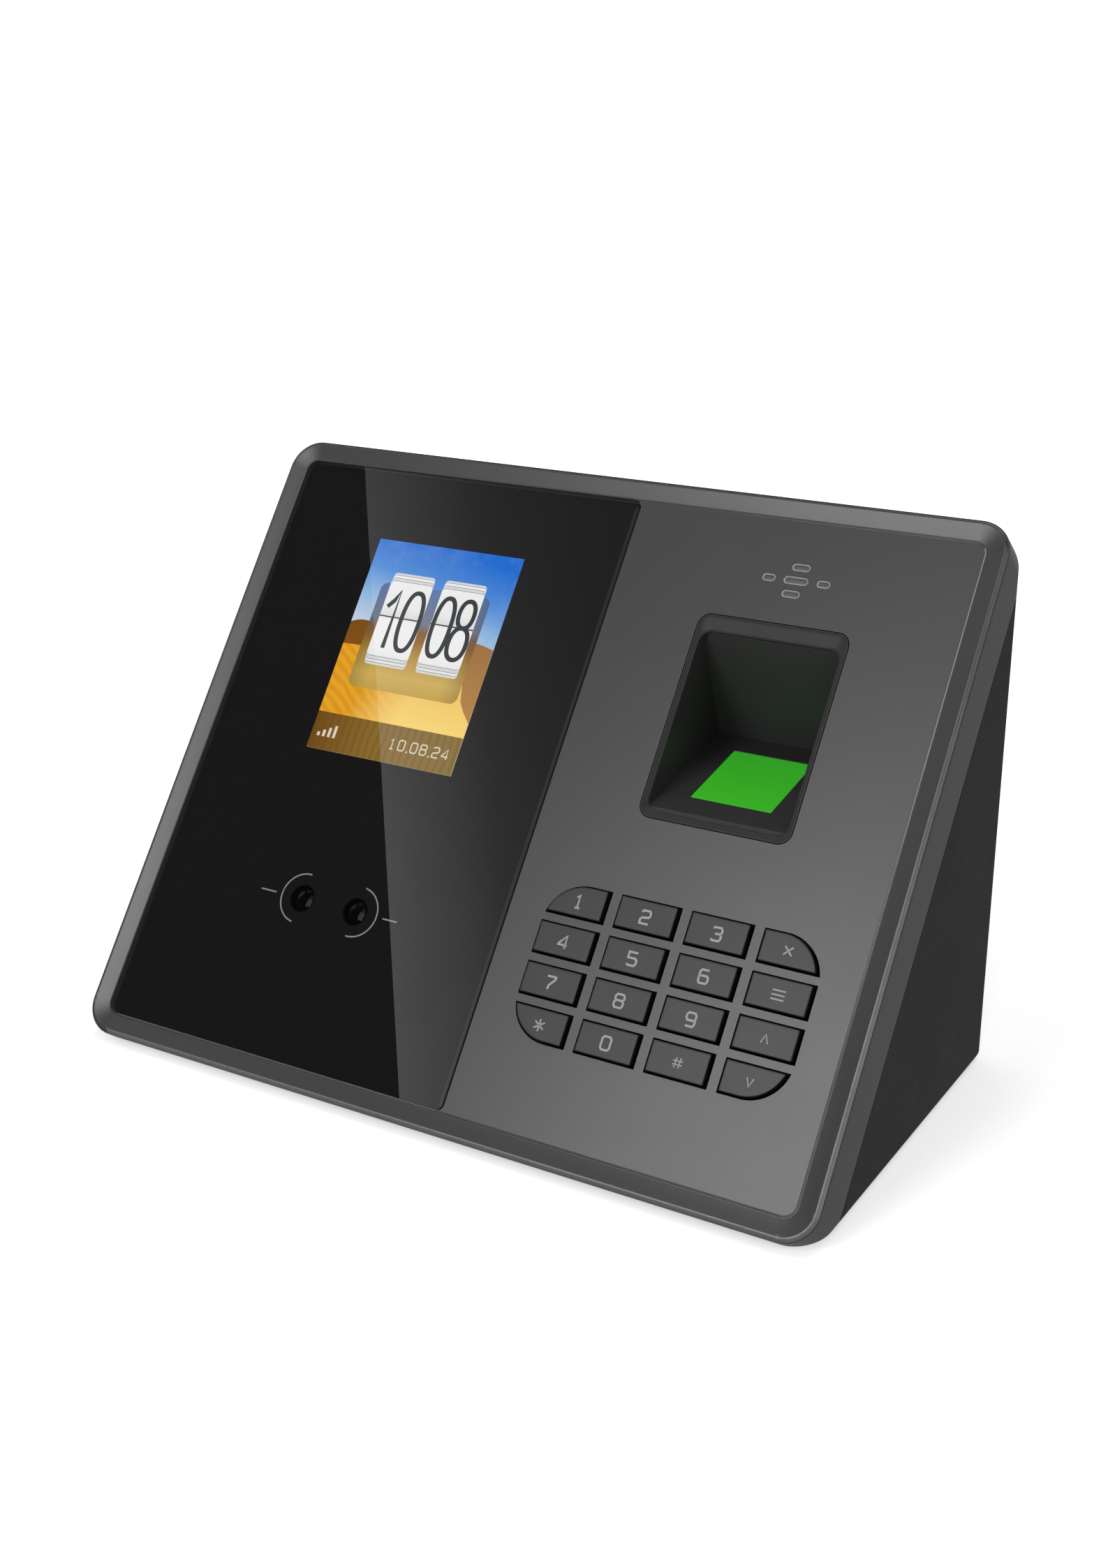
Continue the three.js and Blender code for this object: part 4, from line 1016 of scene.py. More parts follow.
def outer_corner():
    """The well's deep corner moved out by the wall on both sides."""
    a = WELL_DEEP + Vector((-floor_dir.y, floor_dir.x)) * WELL_T
    b = WELL_DEEP + Vector((back_dir.y, -back_dir.x)) * WELL_T
    gap = b - a
    turn = floor_dir.x * back_dir.y - floor_dir.y * back_dir.x
    return a + floor_dir * ((gap.x * back_dir.y - gap.y * back_dir.x) / turn)


def make_guide():
    u0, u1 = MOUTH[:2]
    corner = outer_corner()
    body = [at_n(corner, floor_dir, -SKIN - 0.5), tuple(corner), at_n(corner, back_dir, -SKIN - 0.5)]
    piece = prism_x("guide_well", body, u0 - WELL_T, u1 + WELL_T, PANEL)
    rim = grown(RIM, RIM_R, 0.08, 14)
    boolean(piece, prism("rim", rim, -SKIN - GAP - 0.4, 0, PANEL), "UNION")
    flange = rounded(RIM[0] - 3, RIM[1] + 3, RIM[2] - 3, 52.3, 2, 6)
    boolean(piece, prism("flange", flange, -SKIN - GAP - 1.5, -SKIN - GAP, PANEL), "UNION")
    outer, inner = grown(RIM, RIM_R, -0.3), grown(MOUTH, MOUTH_R, 0)
    levels = [(inner, -1.35), (inner, -0.98)]
    levels += [(blend(inner, outer, k), n) for k, n in FUNNEL]
    levels += [(outer, -0.14), (outer, 0.5)]
    boolean(piece, loft("funnel", levels, PANEL))
    profile = [at_n(WELL_DEEP, floor_dir, -0.5), tuple(WELL_DEEP), at_n(WELL_DEEP, back_dir, -1.0)]
    well = prism_x("well", soften(profile, 0.45), u0, u1, PANEL)
    boolean(well, prism("mouth", inner, -40, 5, PANEL), "INTERSECT")
    boolean(piece, well)
    half_u, half_v = PLATEN_HALF_U + GAP, PLATEN_HALF_V + GAP
    boolean(piece, box("platen_window", -half_u, half_u, -half_v, half_v, -4, 4, FLOOR))
    tidy(piece)
    bevel(piece, width=0.1, seg=2)
    finish(piece, "guide_plastic", "guide", "guide_back_painted_light", replaces="finger_guide", angle=30)
    # the well's back wall is drier than its rim, and lighter as painted light bounced into the well
    back_normal = (N_DIR * 15 - V_DIR * 25).normalized()
    for face, place in panel_faces(piece):
        if face.normal.dot(back_normal) > 0.97 and place.z < -1.2:
            face.material_index = 1


def make_platen():
    outline = rounded(-PLATEN_HALF_U, PLATEN_HALF_U, -PLATEN_HALF_V, PLATEN_HALF_V, 0.3, 4)
    levels = [(outline, -1.8), (outline, -0.16), (inset(outline, 0.05), -0.05),
              (inset(outline, 0.15), 0.0)]
    finish(loft("platen_plate", levels, FLOOR), "platen", "platen", replaces="platen_glass")


make_guide()
make_platen()

# ---------------------------------------------------------------- keys
KEY_KINDS = [
    ["1", "2", "3", "cancel"],
    ["4", "5", "6", "menu"],
    ["7", "8", "9", "up"],
    ["star", "0", "hash", "down"],
]
# Characters as polylines on a 1 x 1 field; CUT is the size of their cut corners.
CUT = 0.16
END = 1 - CUT
STROKES = {
    "0": [[(CUT, 0), (END, 0), (1, CUT), (1, END), (END, 1), (CUT, 1), (0, END), (0, CUT),
           (CUT, 0)]],
    "1": [[(0.22, 0.78), (0.5, 1), (0.5, 0)], [(0.22, 0), (0.78, 0)]],
    "2": [[(0, 0.84), (CUT, 1), (END, 1), (1, END), (1, 0.62), (0.86, 0.5), (0.14, 0.44),
           (0, 0.3), (0, 0), (1, 0)]],
    "3": [[(0, 0.9), (CUT, 1), (END, 1), (1, END), (1, 0.64), (0.84, 0.52), (0.3, 0.52)],
          [(0.84, 0.52), (1, 0.38), (1, CUT), (END, 0), (CUT, 0), (0, 0.1)]],
    "4": [[(0.78, 0), (0.78, 1), (0, 0.34), (0, 0.26), (1, 0.26)]],
    "5": [[(0.96, 1), (0, 1), (0, 0.56), (END, 0.56), (1, 0.42), (1, CUT), (END, 0), (CUT, 0),
           (0, 0.1)]],
    "6": [[(0.92, 1), (CUT, 1), (0, END), (0, CUT), (CUT, 0), (END, 0), (1, CUT), (1, 0.42),
           (END, 0.56), (0, 0.56)]],
    "7": [[(0, 1), (1, 1), (1, 0.84), (0.4, 0.3), (0.36, 0)]],
    "8": [[(CUT, 0.54), (0, 0.66), (0, END), (CUT, 1), (END, 1), (1, END), (1, 0.66),
           (END, 0.54), (CUT, 0.54), (0, 0.4), (0, CUT), (CUT, 0), (END, 0), (1, CUT),
           (1, 0.4), (END, 0.54)]],
    "9": [[(0.08, 0), (END, 0), (1, CUT), (1, END), (END, 1), (CUT, 1), (0, END), (0, 0.58),
           (CUT, 0.44), (1, 0.44)]],
    "star": [[(0.5, 1), (0.5, 0)], [(0.04, 0.78), (0.96, 0.22)], [(0.96, 0.78), (0.04, 0.22)]],
    "hash": [[(0.32, 1), (0.24, 0)], [(0.76, 1), (0.68, 0)], [(0, 0.68), (1, 0.68)],
             [(0, 0.32), (1, 0.32)]],
    "up": [[(0, 0), (0.5, 1), (1, 0)]],
    "down": [[(0, 1), (0.5, 0), (1, 1)]],
    "cancel": [[(0, 0), (1, 1)], [(0, 1), (1, 0)]],
    "menu": [[(0, 1), (1, 1)], [(0, 0.5), (1, 0.5)], [(0, 0), (1, 0)]],
}
# Legends: width, height, stroke
NUMERAL_SIZE = (2.7, 3.5, 0.48)
LEGEND_SIZES = {
    "star": (3.0, 3.2, 0.36), "hash": (2.6, 2.6, 0.28), "up": (1.9, 2.2, 0.28),
    "down": (1.9, 2.2, 0.28), "cancel": (2.3, 2.3, 0.36), "menu": (3.4, 2.3, 0.32),
}
LEGEND_SHIFT = 0.6         # legends of the corner keys move inwards
# The cap's rounded top: inset, distance below KEY_TOP
CAP_TOP = ((0.03, 0.17), (0.10, 0.06), (0.22, 0.005), (0.32, 0), (0.62, 0))


def make_cap(row, column):
    def cap_outline(inset_by):
        outline = key_outline(row, column, -KEY_GAP_U - inset_by, -KEY_GAP_V - inset_by)
        return soften(outline, max(0.35 - 0.7 * inset_by, 0.06))

    kind = KEY_KINDS[row][column]
    side = cap_outline(0.0)
    flange = soften(key_outline(row, column, 0.5, 0.5), 0.5)
    flange_top = -SKIN - GAP
    levels = [(flange, flange_top - 0.8), (flange, flange_top), (side, flange_top + 0.02),
              (side, KEY_TOP - 0.30)]
    levels += [(cap_outline(inset_by), KEY_TOP - below) for inset_by, below in CAP_TOP]
    piece = loft("cap_" + kind, levels, PANEL)
    node = "key_" + kind
    finish(piece, "key_plastic", "key_side_shade", "key_top", replaces=node, body=node)
    # the face and its rounded rim take the key's grey; the sides take a much darker grey, painted shade
    for face, place in panel_faces(piece):
        face.material_index = 1 if place.z > KEY_TOP - 0.16 else 0


def make_legend(row, column):
    kind = KEY_KINDS[row][column]
    width, height, stroke = LEGEND_SIZES.get(kind, NUMERAL_SIZE)
    u, v = KEY_U[column], KEY_V[row] - 0.15
    if row in (0, 3) and column in (0, 3):
        u += LEGEND_SHIFT if column == 0 else -LEGEND_SHIFT
    lines = [([(u + (x - 0.5) * (width - stroke), v + (y - 0.5) * (height - stroke))
               for x, y in line], stroke) for line in STROKES[kind]]
    piece = strokes("legend_" + kind, lines, KEY_TOP - 0.02, KEY_TOP + 0.035)
    finish(piece, "key_plastic", "legend", body="key_" + kind, angle=60)


for row in range(4):
    for column in range(4):
        make_cap(row, column)
        make_legend(row, column)

# ---------------------------------------------------------------- speaker slots
# A bright lining stands in each slot, with cloth across it: lining inset, n
LINING = (
    (0.02, -2.2), (0.02, -0.16), (0.06, -0.08), (0.16, -0.04), (0.34, -0.10), (0.46, -0.24),
    (0.5, -0.42), (0.5, -2.2),
)
linings, cloths = [], []
for slot in SLOTS:
    levels = [(slot_outline(slot, inset_by), n) for inset_by, n in LINING]
    linings.append(loft("slot_trim", levels, PANEL, tube=True))
    cloths.append(prism("cloth", slot_outline(slot, 0.3), -0.95, -0.62, PANEL))
finish(fuse(linings, "slot_trim"), "guide_plastic", "trim", angle=60)
finish(fuse(cloths, "speaker_cloth"), "foam", "cloth")

# ---------------------------------------------------------------- front glass and print
INK_TOP, INK_LOW = -1.23, -1.38
MARK_TOP = INK_TOP + 0.012
# The display's corners as seen on the panel's face.
DISPLAY_SEEN = ((-63.2, 0.0), (-20.0, 57.6))
PANE = rounded(-FIELD_U - 0.05, GLASS_U1, -FIELD_V - 0.05, FIELD_V + 0.05,
               [1.8, 1.8, 3.0, 3.0], 14)
# The pane's edge above its full outline: inset, n
PANE_EDGE = ((0.03, -0.17), (0.11, -0.06), (0.26, 0.0))


def on_ink(u, v):
    """The point of the print's face seen at (u, v)."""
    return seen_below(u, v, -INK_TOP)


CAMERA_RINGS = [on_ink(u, CAMERA_SEEN_V) for u in CAMERA_SEEN_U]


def make_pane():
    levels = [(inset(PANE, 0.1), -GLASS_T), (PANE, -1.1), (PANE, -0.3)]
    levels += [(inset(PANE, inset_by), n) for inset_by, n in PANE_EDGE]
    piece = loft("front_glass", levels, PANEL)
    finish(piece, "black_glass", "glass", "ground_edge_shade", replaces="display_glass", angle=50)
    # ground edge towards the keypad, darkened as painted shade of the gap beside it
    for face, place in panel_faces(piece):
        if place.x > 6.1 and -0.5 < place.z < -0.001:
            face.material_index = 1


def make_print():
    """Black print with windows for display and cameras, and a paler line at the right edge as a painted highlight.
    """
    (u0, v0), (u1, v1) = (on_ink(*corner) for corner in DISPLAY_SEEN)
    holes = [rounded(u0 - 0.15, u1 + 0.15, v0 - 0.15, v1 + 0.15, 0.3, 3)]
    holes += [circle(u, v, 3.45) for u, v in CAMERA_RINGS]
    piece = plate("glass_ink", inset(PANE, 0.3), holes, INK_LOW, INK_TOP)
    finish(piece, "black_glass", "ink_black", angle=60)
    # paler strip along the right edge, a painted highlight of the pane's edge
    strip = rounded(on_ink(5.3, 0)[0], on_ink(6.35, 0)[0], -FIELD_V + 1.2, FIELD_V - 1.2, 0.3, 4)
    piece = prism("edge_painted_highlight", strip, INK_TOP - 0.02, MARK_TOP, PANEL)
    finish(piece, "black_glass", "ink_line_painted_highlight", angle=60)


def make_camera_marks():
    """Half rings around the two camera windows and a dash beyond each."""
    lines = [arc(*CAMERA_RINGS[0], 6.2, 86, 262), arc(*CAMERA_RINGS[1], 6.2, -94, 82)]
    for start, stop in ((-61.4, -56.9), (-25.2, -21.1)):
        lines.append([on_ink(start, CAMERA_SEEN_V), on_ink(stop, CAMERA_SEEN_V)])
    piece = strokes("camera_marks", [(line, 0.36) for line in lines], INK_TOP - 0.01, MARK_TOP)
    finish(piece, "black_glass", "ink_silver", angle=60)


make_pane()
make_print()
make_camera_marks()

# ---------------------------------------------------------------- display picture
# Sky, dunes, a flip clock and a bar, each a thin lit sheet. Places on the display are
# (s, t), 0 to 1 from its lower left corner.
SCREEN_DEPTH = 1.75
LAYER_STEP, SHEET_T = 0.022, 0.012
(screen_u0, screen_v0), (screen_u1, screen_v1) = (
    seen_below(*corner, SCREEN_DEPTH) for corner in DISPLAY_SEEN)
SCREEN_W, SCREEN_H = screen_u1 - screen_u0, screen_v1 - screen_v0


def on_screen(s, t):
    """Display place to panel (u, v)."""
    return (screen_u0 + s * SCREEN_W, screen_v0 + t * SCREEN_H)


def screen_place(tree, axes):
    """Shader values across ("X") and up ("Z") the display, 0 to 1."""
    low = to_world(screen_u0, screen_v0, -SCREEN_DEPTH)
    right = to_world(screen_u1, screen_v0, -SCREEN_DEPTH)
    top = to_world(screen_u0, screen_v1, -SCREEN_DEPTH)
    spans = {"X": (low.x, right.x), "Z": (low.z, top.z)}
    place = tree.split()
    return [tree.remap(place[axis], spans[axis]) for axis in axes]


def ripples(tree):
    wave = tree.node("TexWave", Vector=tree.coord(), Scale=150.0, Distortion=3.0, Detail=2.0,
                     Detail_Scale=1.5)
    wave.bands_direction = "DIAGONAL"
    return wave.outputs["Fac"]


def sky(tree):
    across, up = screen_place(tree, "XZ")
    lift = tree.minus(up, tree.remap(across, (0, 1), to=(0.07, -0.07)))
    base = tree.ramp(lift, [
        (0.52, srgb(205, 220, 235)), (0.59, srgb(184, 206, 230)), (0.68, srgb(148, 188, 230)),
        (0.81, srgb(78, 142, 220)), (0.88, srgb(62, 130, 216)), (1.0, srgb(8, 108, 212)),
    ])
    cloud = tree.noise(scale=120, detail=4, rough=0.6)
    return tree.mix(tree.remap(cloud, (0.48, 0.85), to=(0, 0.12)), base, srgb(225, 235, 248))


def sand(low, high, ripple):
    """Painter of sand between two tones; ripple is the strength of its darker waves."""
    def paint(tree):
        up, = screen_place(tree, "Z")
        wave = tree.remap(ripples(tree), (0.2, 0.9))
        base = tree.mix(tree.remap(up, (0.1, 0.62)), low, high)
        return tree.mix(tree.times(wave, ripple), base, scaled(low, 0.55))
    return paint


def dunes(tree):
    """Rippled orange at the left runs into smooth pale sand at the right."""
    across, up = screen_place(tree, "XZ")
    orange = tree.mix(tree.remap(ripples(tree), (0.25, 0.8), to=(0, 0.32)),
                      srgb(238, 168, 36), srgb(190, 116, 8))
    pale = tree.mix(tree.remap(up, (0.15, 0.5)), srgb(255, 220, 120), srgb(238, 188, 88))
    front = tree.add(across, tree.times(tree.minus(0.45, up), 0.35))
    return tree.mix(tree.remap(front, (0.28, 0.62)), orange, pale)


def speckled(colour):
    def paint(tree):
        fine = tree.remap(tree.noise(scale=900, detail=2), (0.3, 0.7))
        return tree.mix(fine, scaled(colour, 1 - 0.04), scaled(colour, 1 + 0.04))
    return paint


def bar_colour(tree):
    across, = screen_place(tree, "X")
    base = tree.ramp(across, [(0.0, srgb(116, 74, 12)), (0.4, srgb(142, 108, 44)),
                              (1.0, srgb(140, 114, 52))])
    wave = tree.node("TexWave", Vector=tree.coord(), Scale=150.0, Distortion=3.0, Detail=2.0)
    band = tree.remap(wave.outputs["Fac"], (0.3, 0.9), to=(0, 0.3))
    return tree.mix(band, base, srgb(100, 72, 24))


def card_colour(tree):
    up, = screen_place(tree, "Z")
    return tree.ramp(up, [
        (0.38, srgb(226, 226, 224)), (0.50, srgb(246, 246, 244)), (0.635, grey(246)),
        (0.65, grey(224)), (0.70, grey(242)), (0.86, grey(246)),
    ])


def backing_colour(tree):
    """The scene dimly seen through the clock's backing, darker to both sides."""
    across, up = screen_place(tree, "XZ")
    middle = tree.ramp(up, [
        (0.30, srgb(200, 162, 70)), (0.38, srgb(210, 178, 92)), (0.48, srgb(186, 148, 66)),
        (0.555, srgb(150, 104, 40)), (0.60, srgb(136, 96, 50)), (0.64, srgb(118, 126, 144)),
        (0.80, srgb(88, 120, 168)),
    ])
    sides = tree.ramp(up, [
        (0.30, srgb(116, 88, 30)), (0.55, srgb(84, 64, 34)), (0.62, srgb(58, 74, 100)),
        (0.80, srgb(48, 78, 126)),
    ])
    off_centre = tree.times(tree.calc("ABSOLUTE", tree.minus(across, 0.5)), 2.0)
    return tree.mix(tree.remap(off_centre, (0.50, 0.78), to=(0.0, 0.45)), middle, sides)


def lit(name, paint):
    """Self-lit material; paint(tree) gives its colour."""
    tree = new_material(name)
    return tree.done(tree.node("Emission", Color=paint(tree), Strength=1.0))


MAT.update({
    "sky": lit("screen_sky", sky),
    "dunes": lit("screen_sand_right", dunes),
    "dune_far": lit("screen_dune_far", sand(srgb(150, 92, 20), srgb(128, 78, 16), ripple=0.10)),
    "dune_right": lit("screen_dune_right",
                      sand(srgb(196, 140, 62), srgb(158, 112, 62), ripple=0.06)),
    "bar": lit("screen_bar", bar_colour),
    "card": lit("clock_card", card_colour),
    "card_edge": lit("clock_card_edge", speckled(grey(222))),
    "backing": lit("clock_backing", backing_colour),
    "digit": lit("clock_digit", speckled(srgb(46, 52, 56))),
    "page_line": lit("clock_page_line", speckled(srgb(150, 152, 156))),
    "marks": lit("screen_marks", speckled(srgb(226, 218, 196))),
    "pixel_off": ink("display_border", (0.003, 0.003, 0.0035), rough=0.35),
})


def sheet(name, outline, layer, material):
    """Thin lit sheet from a panel outline; higher layers lie nearer the viewer."""
    if signed_area(outline) < 0:
        outline = list(reversed(outline))
    n = -SCREEN_DEPTH + layer * LAYER_STEP
    finish(plate(name, outline, [], n, n + SHEET_T), "display", material, angle=60)


def smooth_line(points, steps=10):
    """Smooth line through (s, t) points."""
    out = []
    last = len(points) - 1
    for i in range(last):
        p0, p1, p2, p3 = (Vector(points[k]) for k in (max(0, i - 1), i, i + 1, min(last, i + 2)))
        for k in range(steps):
            x = k / steps
            out.append(tuple(0.5 * ((2 * p1) + (-p0 + p2) * x
                                    + (2 * p0 - 5 * p1 + 4 * p2 - p3) * x * x
                                    + (-p0 + 3 * p1 - 3 * p2 + p3) * x ** 3)))
    out.append(points[-1])
    return out


# Crest lines of the dunes, (s, t) from left to right.
FAR_CREST = [
    (0, 0.598), (0.06, 0.612), (0.14, 0.612), (0.24, 0.60), (0.36, 0.60), (0.48, 0.632),
    (0.56, 0.60), (0.66, 0.55), (0.75, 0.53), (1.0, 0.5),
]
MIDDLE_CREST = [
    (0, 0.492), (0.12, 0.496), (0.28, 0.50), (0.42, 0.53), (0.50, 0.552), (0.60, 0.545),
    (0.75, 0.52), (1.0, 0.5),
]
RIGHT_CREST = [(0.70, 0.575), (0.80, 0.592), (0.886, 0.59), (0.95, 0.582), (1.0, 0.572)]
# The right dune's foot, from right to left.
RIGHT_FOOT = [
    (1.0, 0.235), (0.975, 0.256), (0.94, 0.285), (0.903, 0.324), (0.885, 0.38), (0.86, 0.45),
    (0.80, 0.52),
]
# Scenery: name, (s, t) outline, layer, material
SCENERY = (
    ("screen_dune_far", smooth_line(FAR_CREST) + [(1, 0.3), (0, 0.3)], 1, "dune_far"),
    ("screen_sand_right", smooth_line(MIDDLE_CREST) + [(1, 0.0), (0, 0.0)], 2, "dunes"),
    ("screen_dune_right", smooth_line(RIGHT_CREST) + RIGHT_FOOT, 4, "dune_right"),
    ("screen_bar", rect(0, 1, 0, 0.17), 5, "bar"),
)
sheet("screen_sky", rounded(screen_u0, screen_u1, screen_v0, screen_v1, 0.05, 2), 0, "sky")
for name, outline, layer, material in SCENERY:
    sheet(name, [on_screen(*place) for place in outline], layer, material)


def card(s0, s1, t0, t1, radius):
    (u0, v0), (u1, v1) = on_screen(s0, t0), on_screen(s1, t1)
    return rounded(u0, u1, v0, v1, radius, 8)


CARD_SPANS = ((0.184, 0.476), (0.542, 0.830))    # s0, s1 of the two clock cards
# Pages step out above and below the leaf in front, from layer 7 up:
# name with place for the card's number, side inset, t0, t1, material
PAGES = (
    ("clock_pages_{}_a", 0.004, 0.418, 0.852, "card_edge"),
    ("clock_pages_{}_b", 0.003, 0.427, 0.843, "page_line"),
    ("clock_pages_{}_c", 0.002, 0.430, 0.840, "card"),
    ("clock_pages_{}_d", 0.001, 0.441, 0.829, "page_line"),
    ("clock_pages_{}_e", 0.001, 0.444, 0.826, "card_edge"),
    ("clock_pages_{}_f", 0, 0.456, 0.815, "page_line"),
    ("clock_leaf_{}", 0, 0.459, 0.812, "card"),
)
DIGIT_H = 0.272 * SCREEN_H
# Clock digits: character, s of the middle, width as part of the display's
DIGITS = (("1", 0.262, 0.11), ("0", 0.400, 0.125), ("0", 0.618, 0.118), ("8", 0.757, 0.118))
MARKS_N = -SCREEN_DEPTH + 14 * LAYER_STEP


def clock_digit(character, x, y, width, height):
    """Centre lines of a tall thin digit."""
    def loop(middle, radius_x, radius_y, power=0.82, seg=44):
        points = []
        for i in range(seg):
            a = 2 * math.pi * i / seg
            cos, sin = math.cos(a), math.sin(a)
            points.append((x + radius_x * math.copysign(abs(cos) ** power, cos),
                           middle + radius_y * math.copysign(abs(sin) ** power, sin)))
        return points + [points[0]]

    if character == "0":
        return [loop(y, width / 2, height / 2)]
    if character == "1":
        return [[(x - width * 0.42, y + height * 0.20), (x - width * 0.1, y + height * 0.32),
                 (x + width * 0.14, y + height / 2), (x + width * 0.14, y - height / 2)]]
    return [loop(y + height * 0.27, width * 0.42, height * 0.23, 0.9),
            loop(y - height * 0.23, width * 0.5, height * 0.27, 0.9)]


def make_clock():
    sheet("clock_backing", card(0.125, 0.878, 0.307, 0.80, 2.0), 6, "backing")
    for i, (s0, s1) in enumerate(CARD_SPANS):
        for layer, (name, side, t0, t1, material) in enumerate(PAGES, start=7):
            sheet(name.format(i), card(s0 + side, s1 - side, t0, t1, 0.9), layer, material)
    lines = []
    for character, middle, width in DIGITS:
        u, v = on_screen(middle, 0.635)
        lines += clock_digit(character, u, v, width * SCREEN_W, DIGIT_H)
    piece = strokes("clock_digits", [(line, 1.22) for line in lines], MARKS_N, MARKS_N + SHEET_T)
    finish(piece, "display", "digit", angle=60)
    for i, (s0, s1) in enumerate(CARD_SPANS):
        sheet(f"clock_hinge_{i}", card(s0, s1, 0.6415, 0.6475, 0.02), 15, "digit")


def make_bar_marks():
    """Small numerals at the bar's right and a four-step gauge at its left."""
    lines = []
    s = 0.565
    for character in "10.08.24":
        if character == ".":
            u, v = on_screen(s - 0.018, 0.062)
            lines.append(([(u - 0.2, v), (u + 0.2, v)], 0.42))
            s += 0.022
            continue
        u, v = on_screen(s, 0.086)
        for line in STROKES[character]:
            lines.append(([(u + (x - 0.5) * 1.75, v + (y - 0.5) * 2.6) for x, y in line], 0.33))
        s += 0.063
    for i in range(4):
        u, v = on_screen(0.055 + i * 0.036, 0.058)
        lines.append(([(u, v), (u, v + 1.0 + 0.75 * i)], 0.8))
    piece = strokes("screen_marks", lines, MARKS_N, MARKS_N + SHEET_T)
    finish(piece, "display", "marks", angle=60)


make_clock()
make_bar_marks()

# ---------------------------------------------------------------- carried-over parts
SLOT_MATERIALS = {
    "steel": "steel", "circuit_board": "pcb", "foam": "foam", "black_plastic": "black",
    "guide_plastic": "guide", "clear_optic": "optic", "silicone": "silicone",
    "ribbon": "ribbon", "cable": "cable", "battery_wrap": "battery", "wall_steel": "wall",
    "lens_glass": "lens", "key_plastic": "key_top", "screw_zinc": "screw",
    "foot_rubber": "rubber", "cover_plastic": "cover", "housing_plastic": "housing",
    "black_glass": "glass", "display": "pixel_off", "platen": "platen",
}


def dress(part, material):
    """Material for a part of the loaded model, and softened edges where it is rendered."""
    part.data.materials.clear()
    part.data.materials.append(material)
    if part.hide_render:
        return
    weld = part.modifiers.new("weld", "WELD")
    weld.merge_threshold = 1e-6
    part.data.shade_smooth()
    edge = part.modifiers.new("edge", "BEVEL")
    edge.limit_method = "ANGLE"
    edge.angle_limit = math.radians(40)
    edge.width = 0.00012
    edge.segments = 2
    normals = part.modifiers.new("wn", "WEIGHTED_NORMAL")
    normals.keep_sharp = True
    part.data.set_sharp_from_angle(angle=math.radians(32))


for subpart in frame["record"]["subparts"]:
    key = SLOT_MATERIALS[subpart["material_slot"]]
    if subpart["node"].startswith("camera_barrel"):
        key = "barrel"
    dress(frame["nodes"][subpart["node"]], MAT[key])

# ---------------------------------------------------------------- floor, world, lights, camera
# Broad glows of the world: direction, tightness, strength
GLOWS = [
    ((0.8, 0.5, 0.1), 3.0, 0.25),
    ((0.0, 0.3, -1.0), 2.0, 0.2),
    ((0.3, 0.95, 0.05), 8.0, 0.8),
]
# Softboxes aimed at the panel's middle: name, degrees right and up from the panel's normal,
# half width and half height in degrees, radiance, distance in metres
SOFTBOXES = [
    ("softbox_front", -16.3, 0, 9.3, 11, 7.8, 6.0),
    ("softbox_high", -14, 18, 6, 5, 2.6, 6.0),
    ("softbox_upper", -33, 46, 13, 9, 1.1, 5.0),
    ("softbox_side", -56, 36, 11, 9, 2.3, 5.0),
    ("softbox_top", 0, 62, 16, 10, 3.7, 2.2),
    ("softbox_left", -75, 5, 14, 20, 0.5, 2.2),
    ("softbox_right", 68, 18, 7, 24, 3.0, 2.2),
    ("softbox_edge", 12, 5, 2.5, 16, 5.0, 4.0),
    ("softbox_fill", 40, 4, 22, 16, 0.7, 4.0),
]


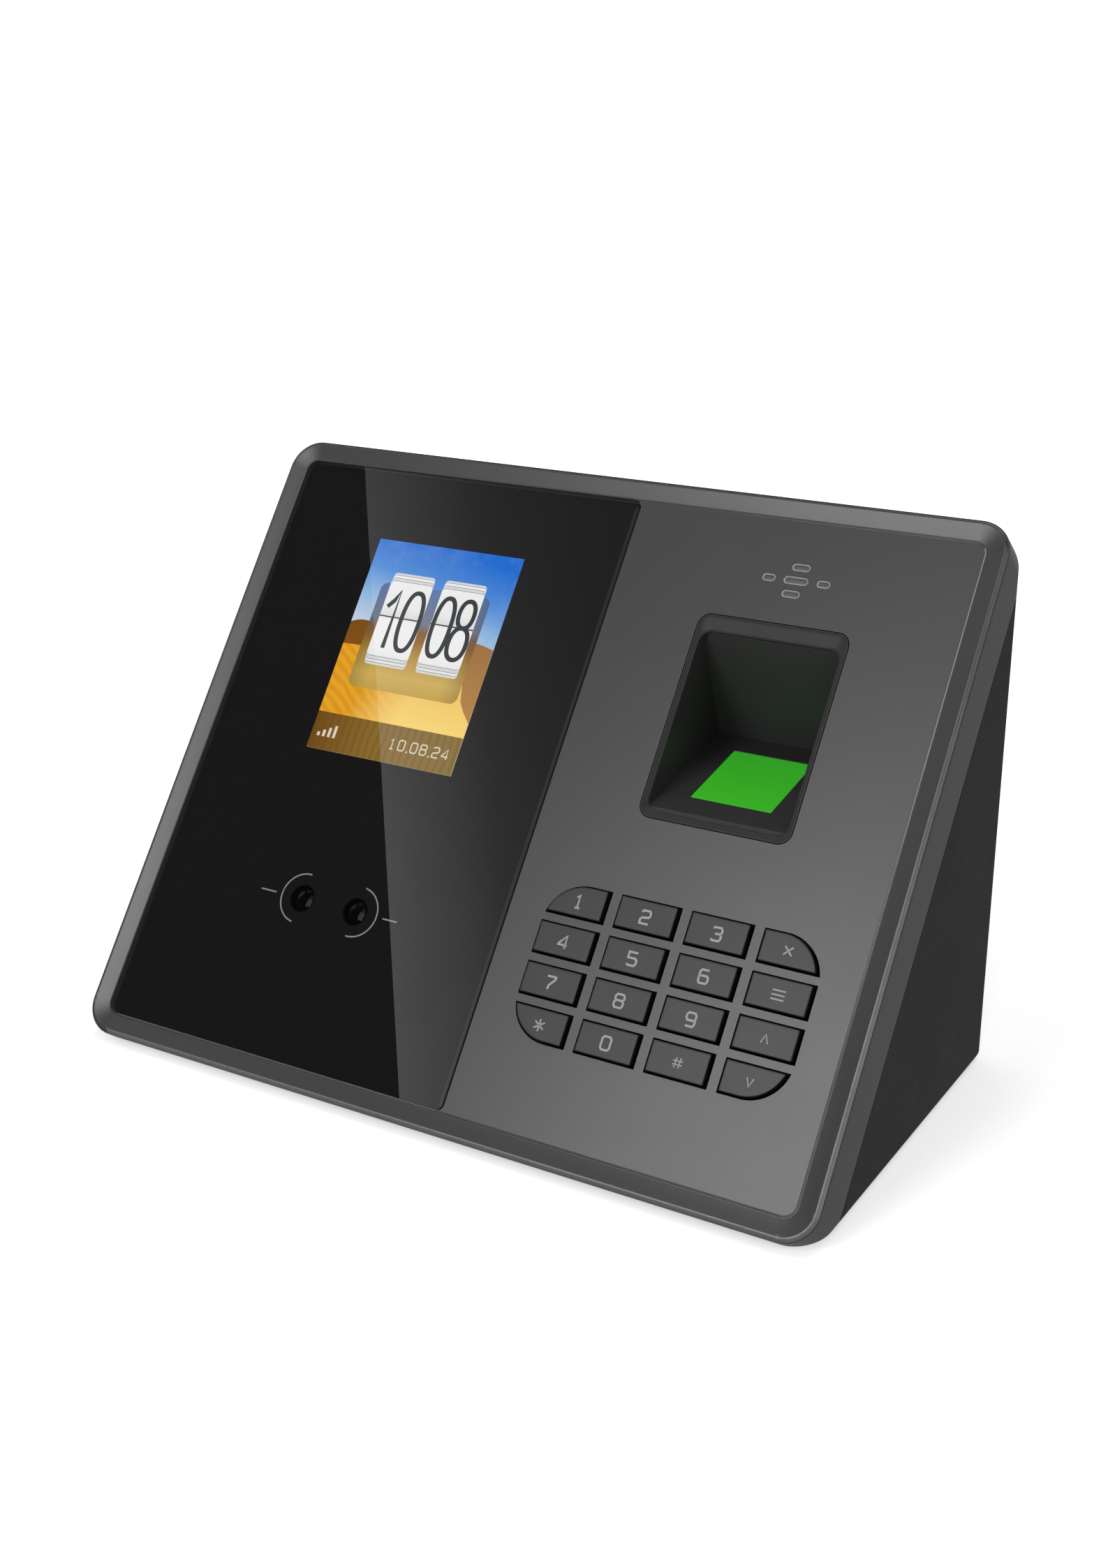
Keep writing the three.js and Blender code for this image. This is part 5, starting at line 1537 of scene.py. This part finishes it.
def make_floor():
    """Paper floor that turns to plain white away from the terminal."""
    mesh = bpy.data.meshes.new("floor")
    mesh.from_pydata([(-6, -6, 0), (6, -6, 0), (6, 6, 0), (-6, 6, 0)], [], [(0, 1, 2, 3)])
    floor = link_object("floor", mesh)
    t = new_material("floor_paper")
    tone = t.mix(t.noise(scale=3, detail=2), (0.84, 0.84, 0.84, 1), (0.86, 0.86, 0.86, 1))
    away = t.node("VectorMath", t.position(), operation="LENGTH").outputs["Value"]
    glow = t.remap(away, (0.35, 1.2), to=(FLOOR_GLOW, 1.05))
    seen = t.node("AddShader", t.node("BsdfDiffuse", Color=tone),
                  t.node("Emission", Color=WHITE, Strength=glow))
    other = t.node("Emission", Color=WHITE, Strength=FLOOR_SEEN)
    mesh.materials.append(t.done(t.node("MixShader", t.camera_ray(), other, seen)))


def make_world():
    """Pale to the camera, a soft studio to everything else."""
    world = bpy.data.worlds.new("studio")
    bpy.context.scene.world = world
    t = Tree(world, "OutputWorld")
    ray = t.coord("Generated")
    total = None
    for direction, power, amount in GLOWS:
        facing = t.calc("MAXIMUM", t.dot(ray, Vector(direction).normalized()), 0.0)
        glow = t.times(t.calc("POWER", facing, power), amount)
        total = t.add(total, glow) if total else glow
    studio = t.node("Background", Color=WHITE, Strength=t.add(total, AMBIENT))
    backdrop = t.node("Background", Color=(1.05, 1.05, 1.05, 1))
    t.done(t.node("MixShader", t.camera_ray(), studio, backdrop))


def add_softbox(name, right, up, half_width, half_height, radiance, distance):
    right, up = math.radians(right), math.radians(up)
    d = Vector((math.sin(right), math.cos(right) * math.sin(up), math.cos(right) * math.cos(up)))
    location = PANEL_ORIGIN + (U_DIR * d.x + V_DIR * d.y + N_DIR * d.z) * distance
    width = 2 * distance * math.tan(math.radians(half_width))
    height = 2 * distance * math.tan(math.radians(half_height))
    light = bpy.data.lights.new(name, "AREA")
    light.shape = "RECTANGLE"
    light.size, light.size_y = width, height
    light.energy = radiance * math.pi * width * height
    light.spread = math.pi
    lamp = link_object(name, light)
    lamp.location = location
    lamp.rotation_euler = (PANEL_ORIGIN - location).to_track_quat("-Z", "Y").to_euler()
    lamp.visible_camera = False


def make_camera():
    camera = bpy.data.cameras.new("camera")
    camera.lens = 46.053
    camera.sensor_width = 36
    camera.clip_start = 0.01
    holder = link_object("camera", camera)
    holder.location = EYE
    holder.rotation_euler = EYE_DIRECTION.to_track_quat("-Z", "Y").to_euler()
    bpy.context.scene.camera = holder


bpy.context.scene.view_settings.view_transform = "Standard"
bpy.context.scene.view_settings.look = "None"
make_floor()
make_world()
for softbox in SOFTBOXES:
    add_softbox(*softbox)
make_camera()
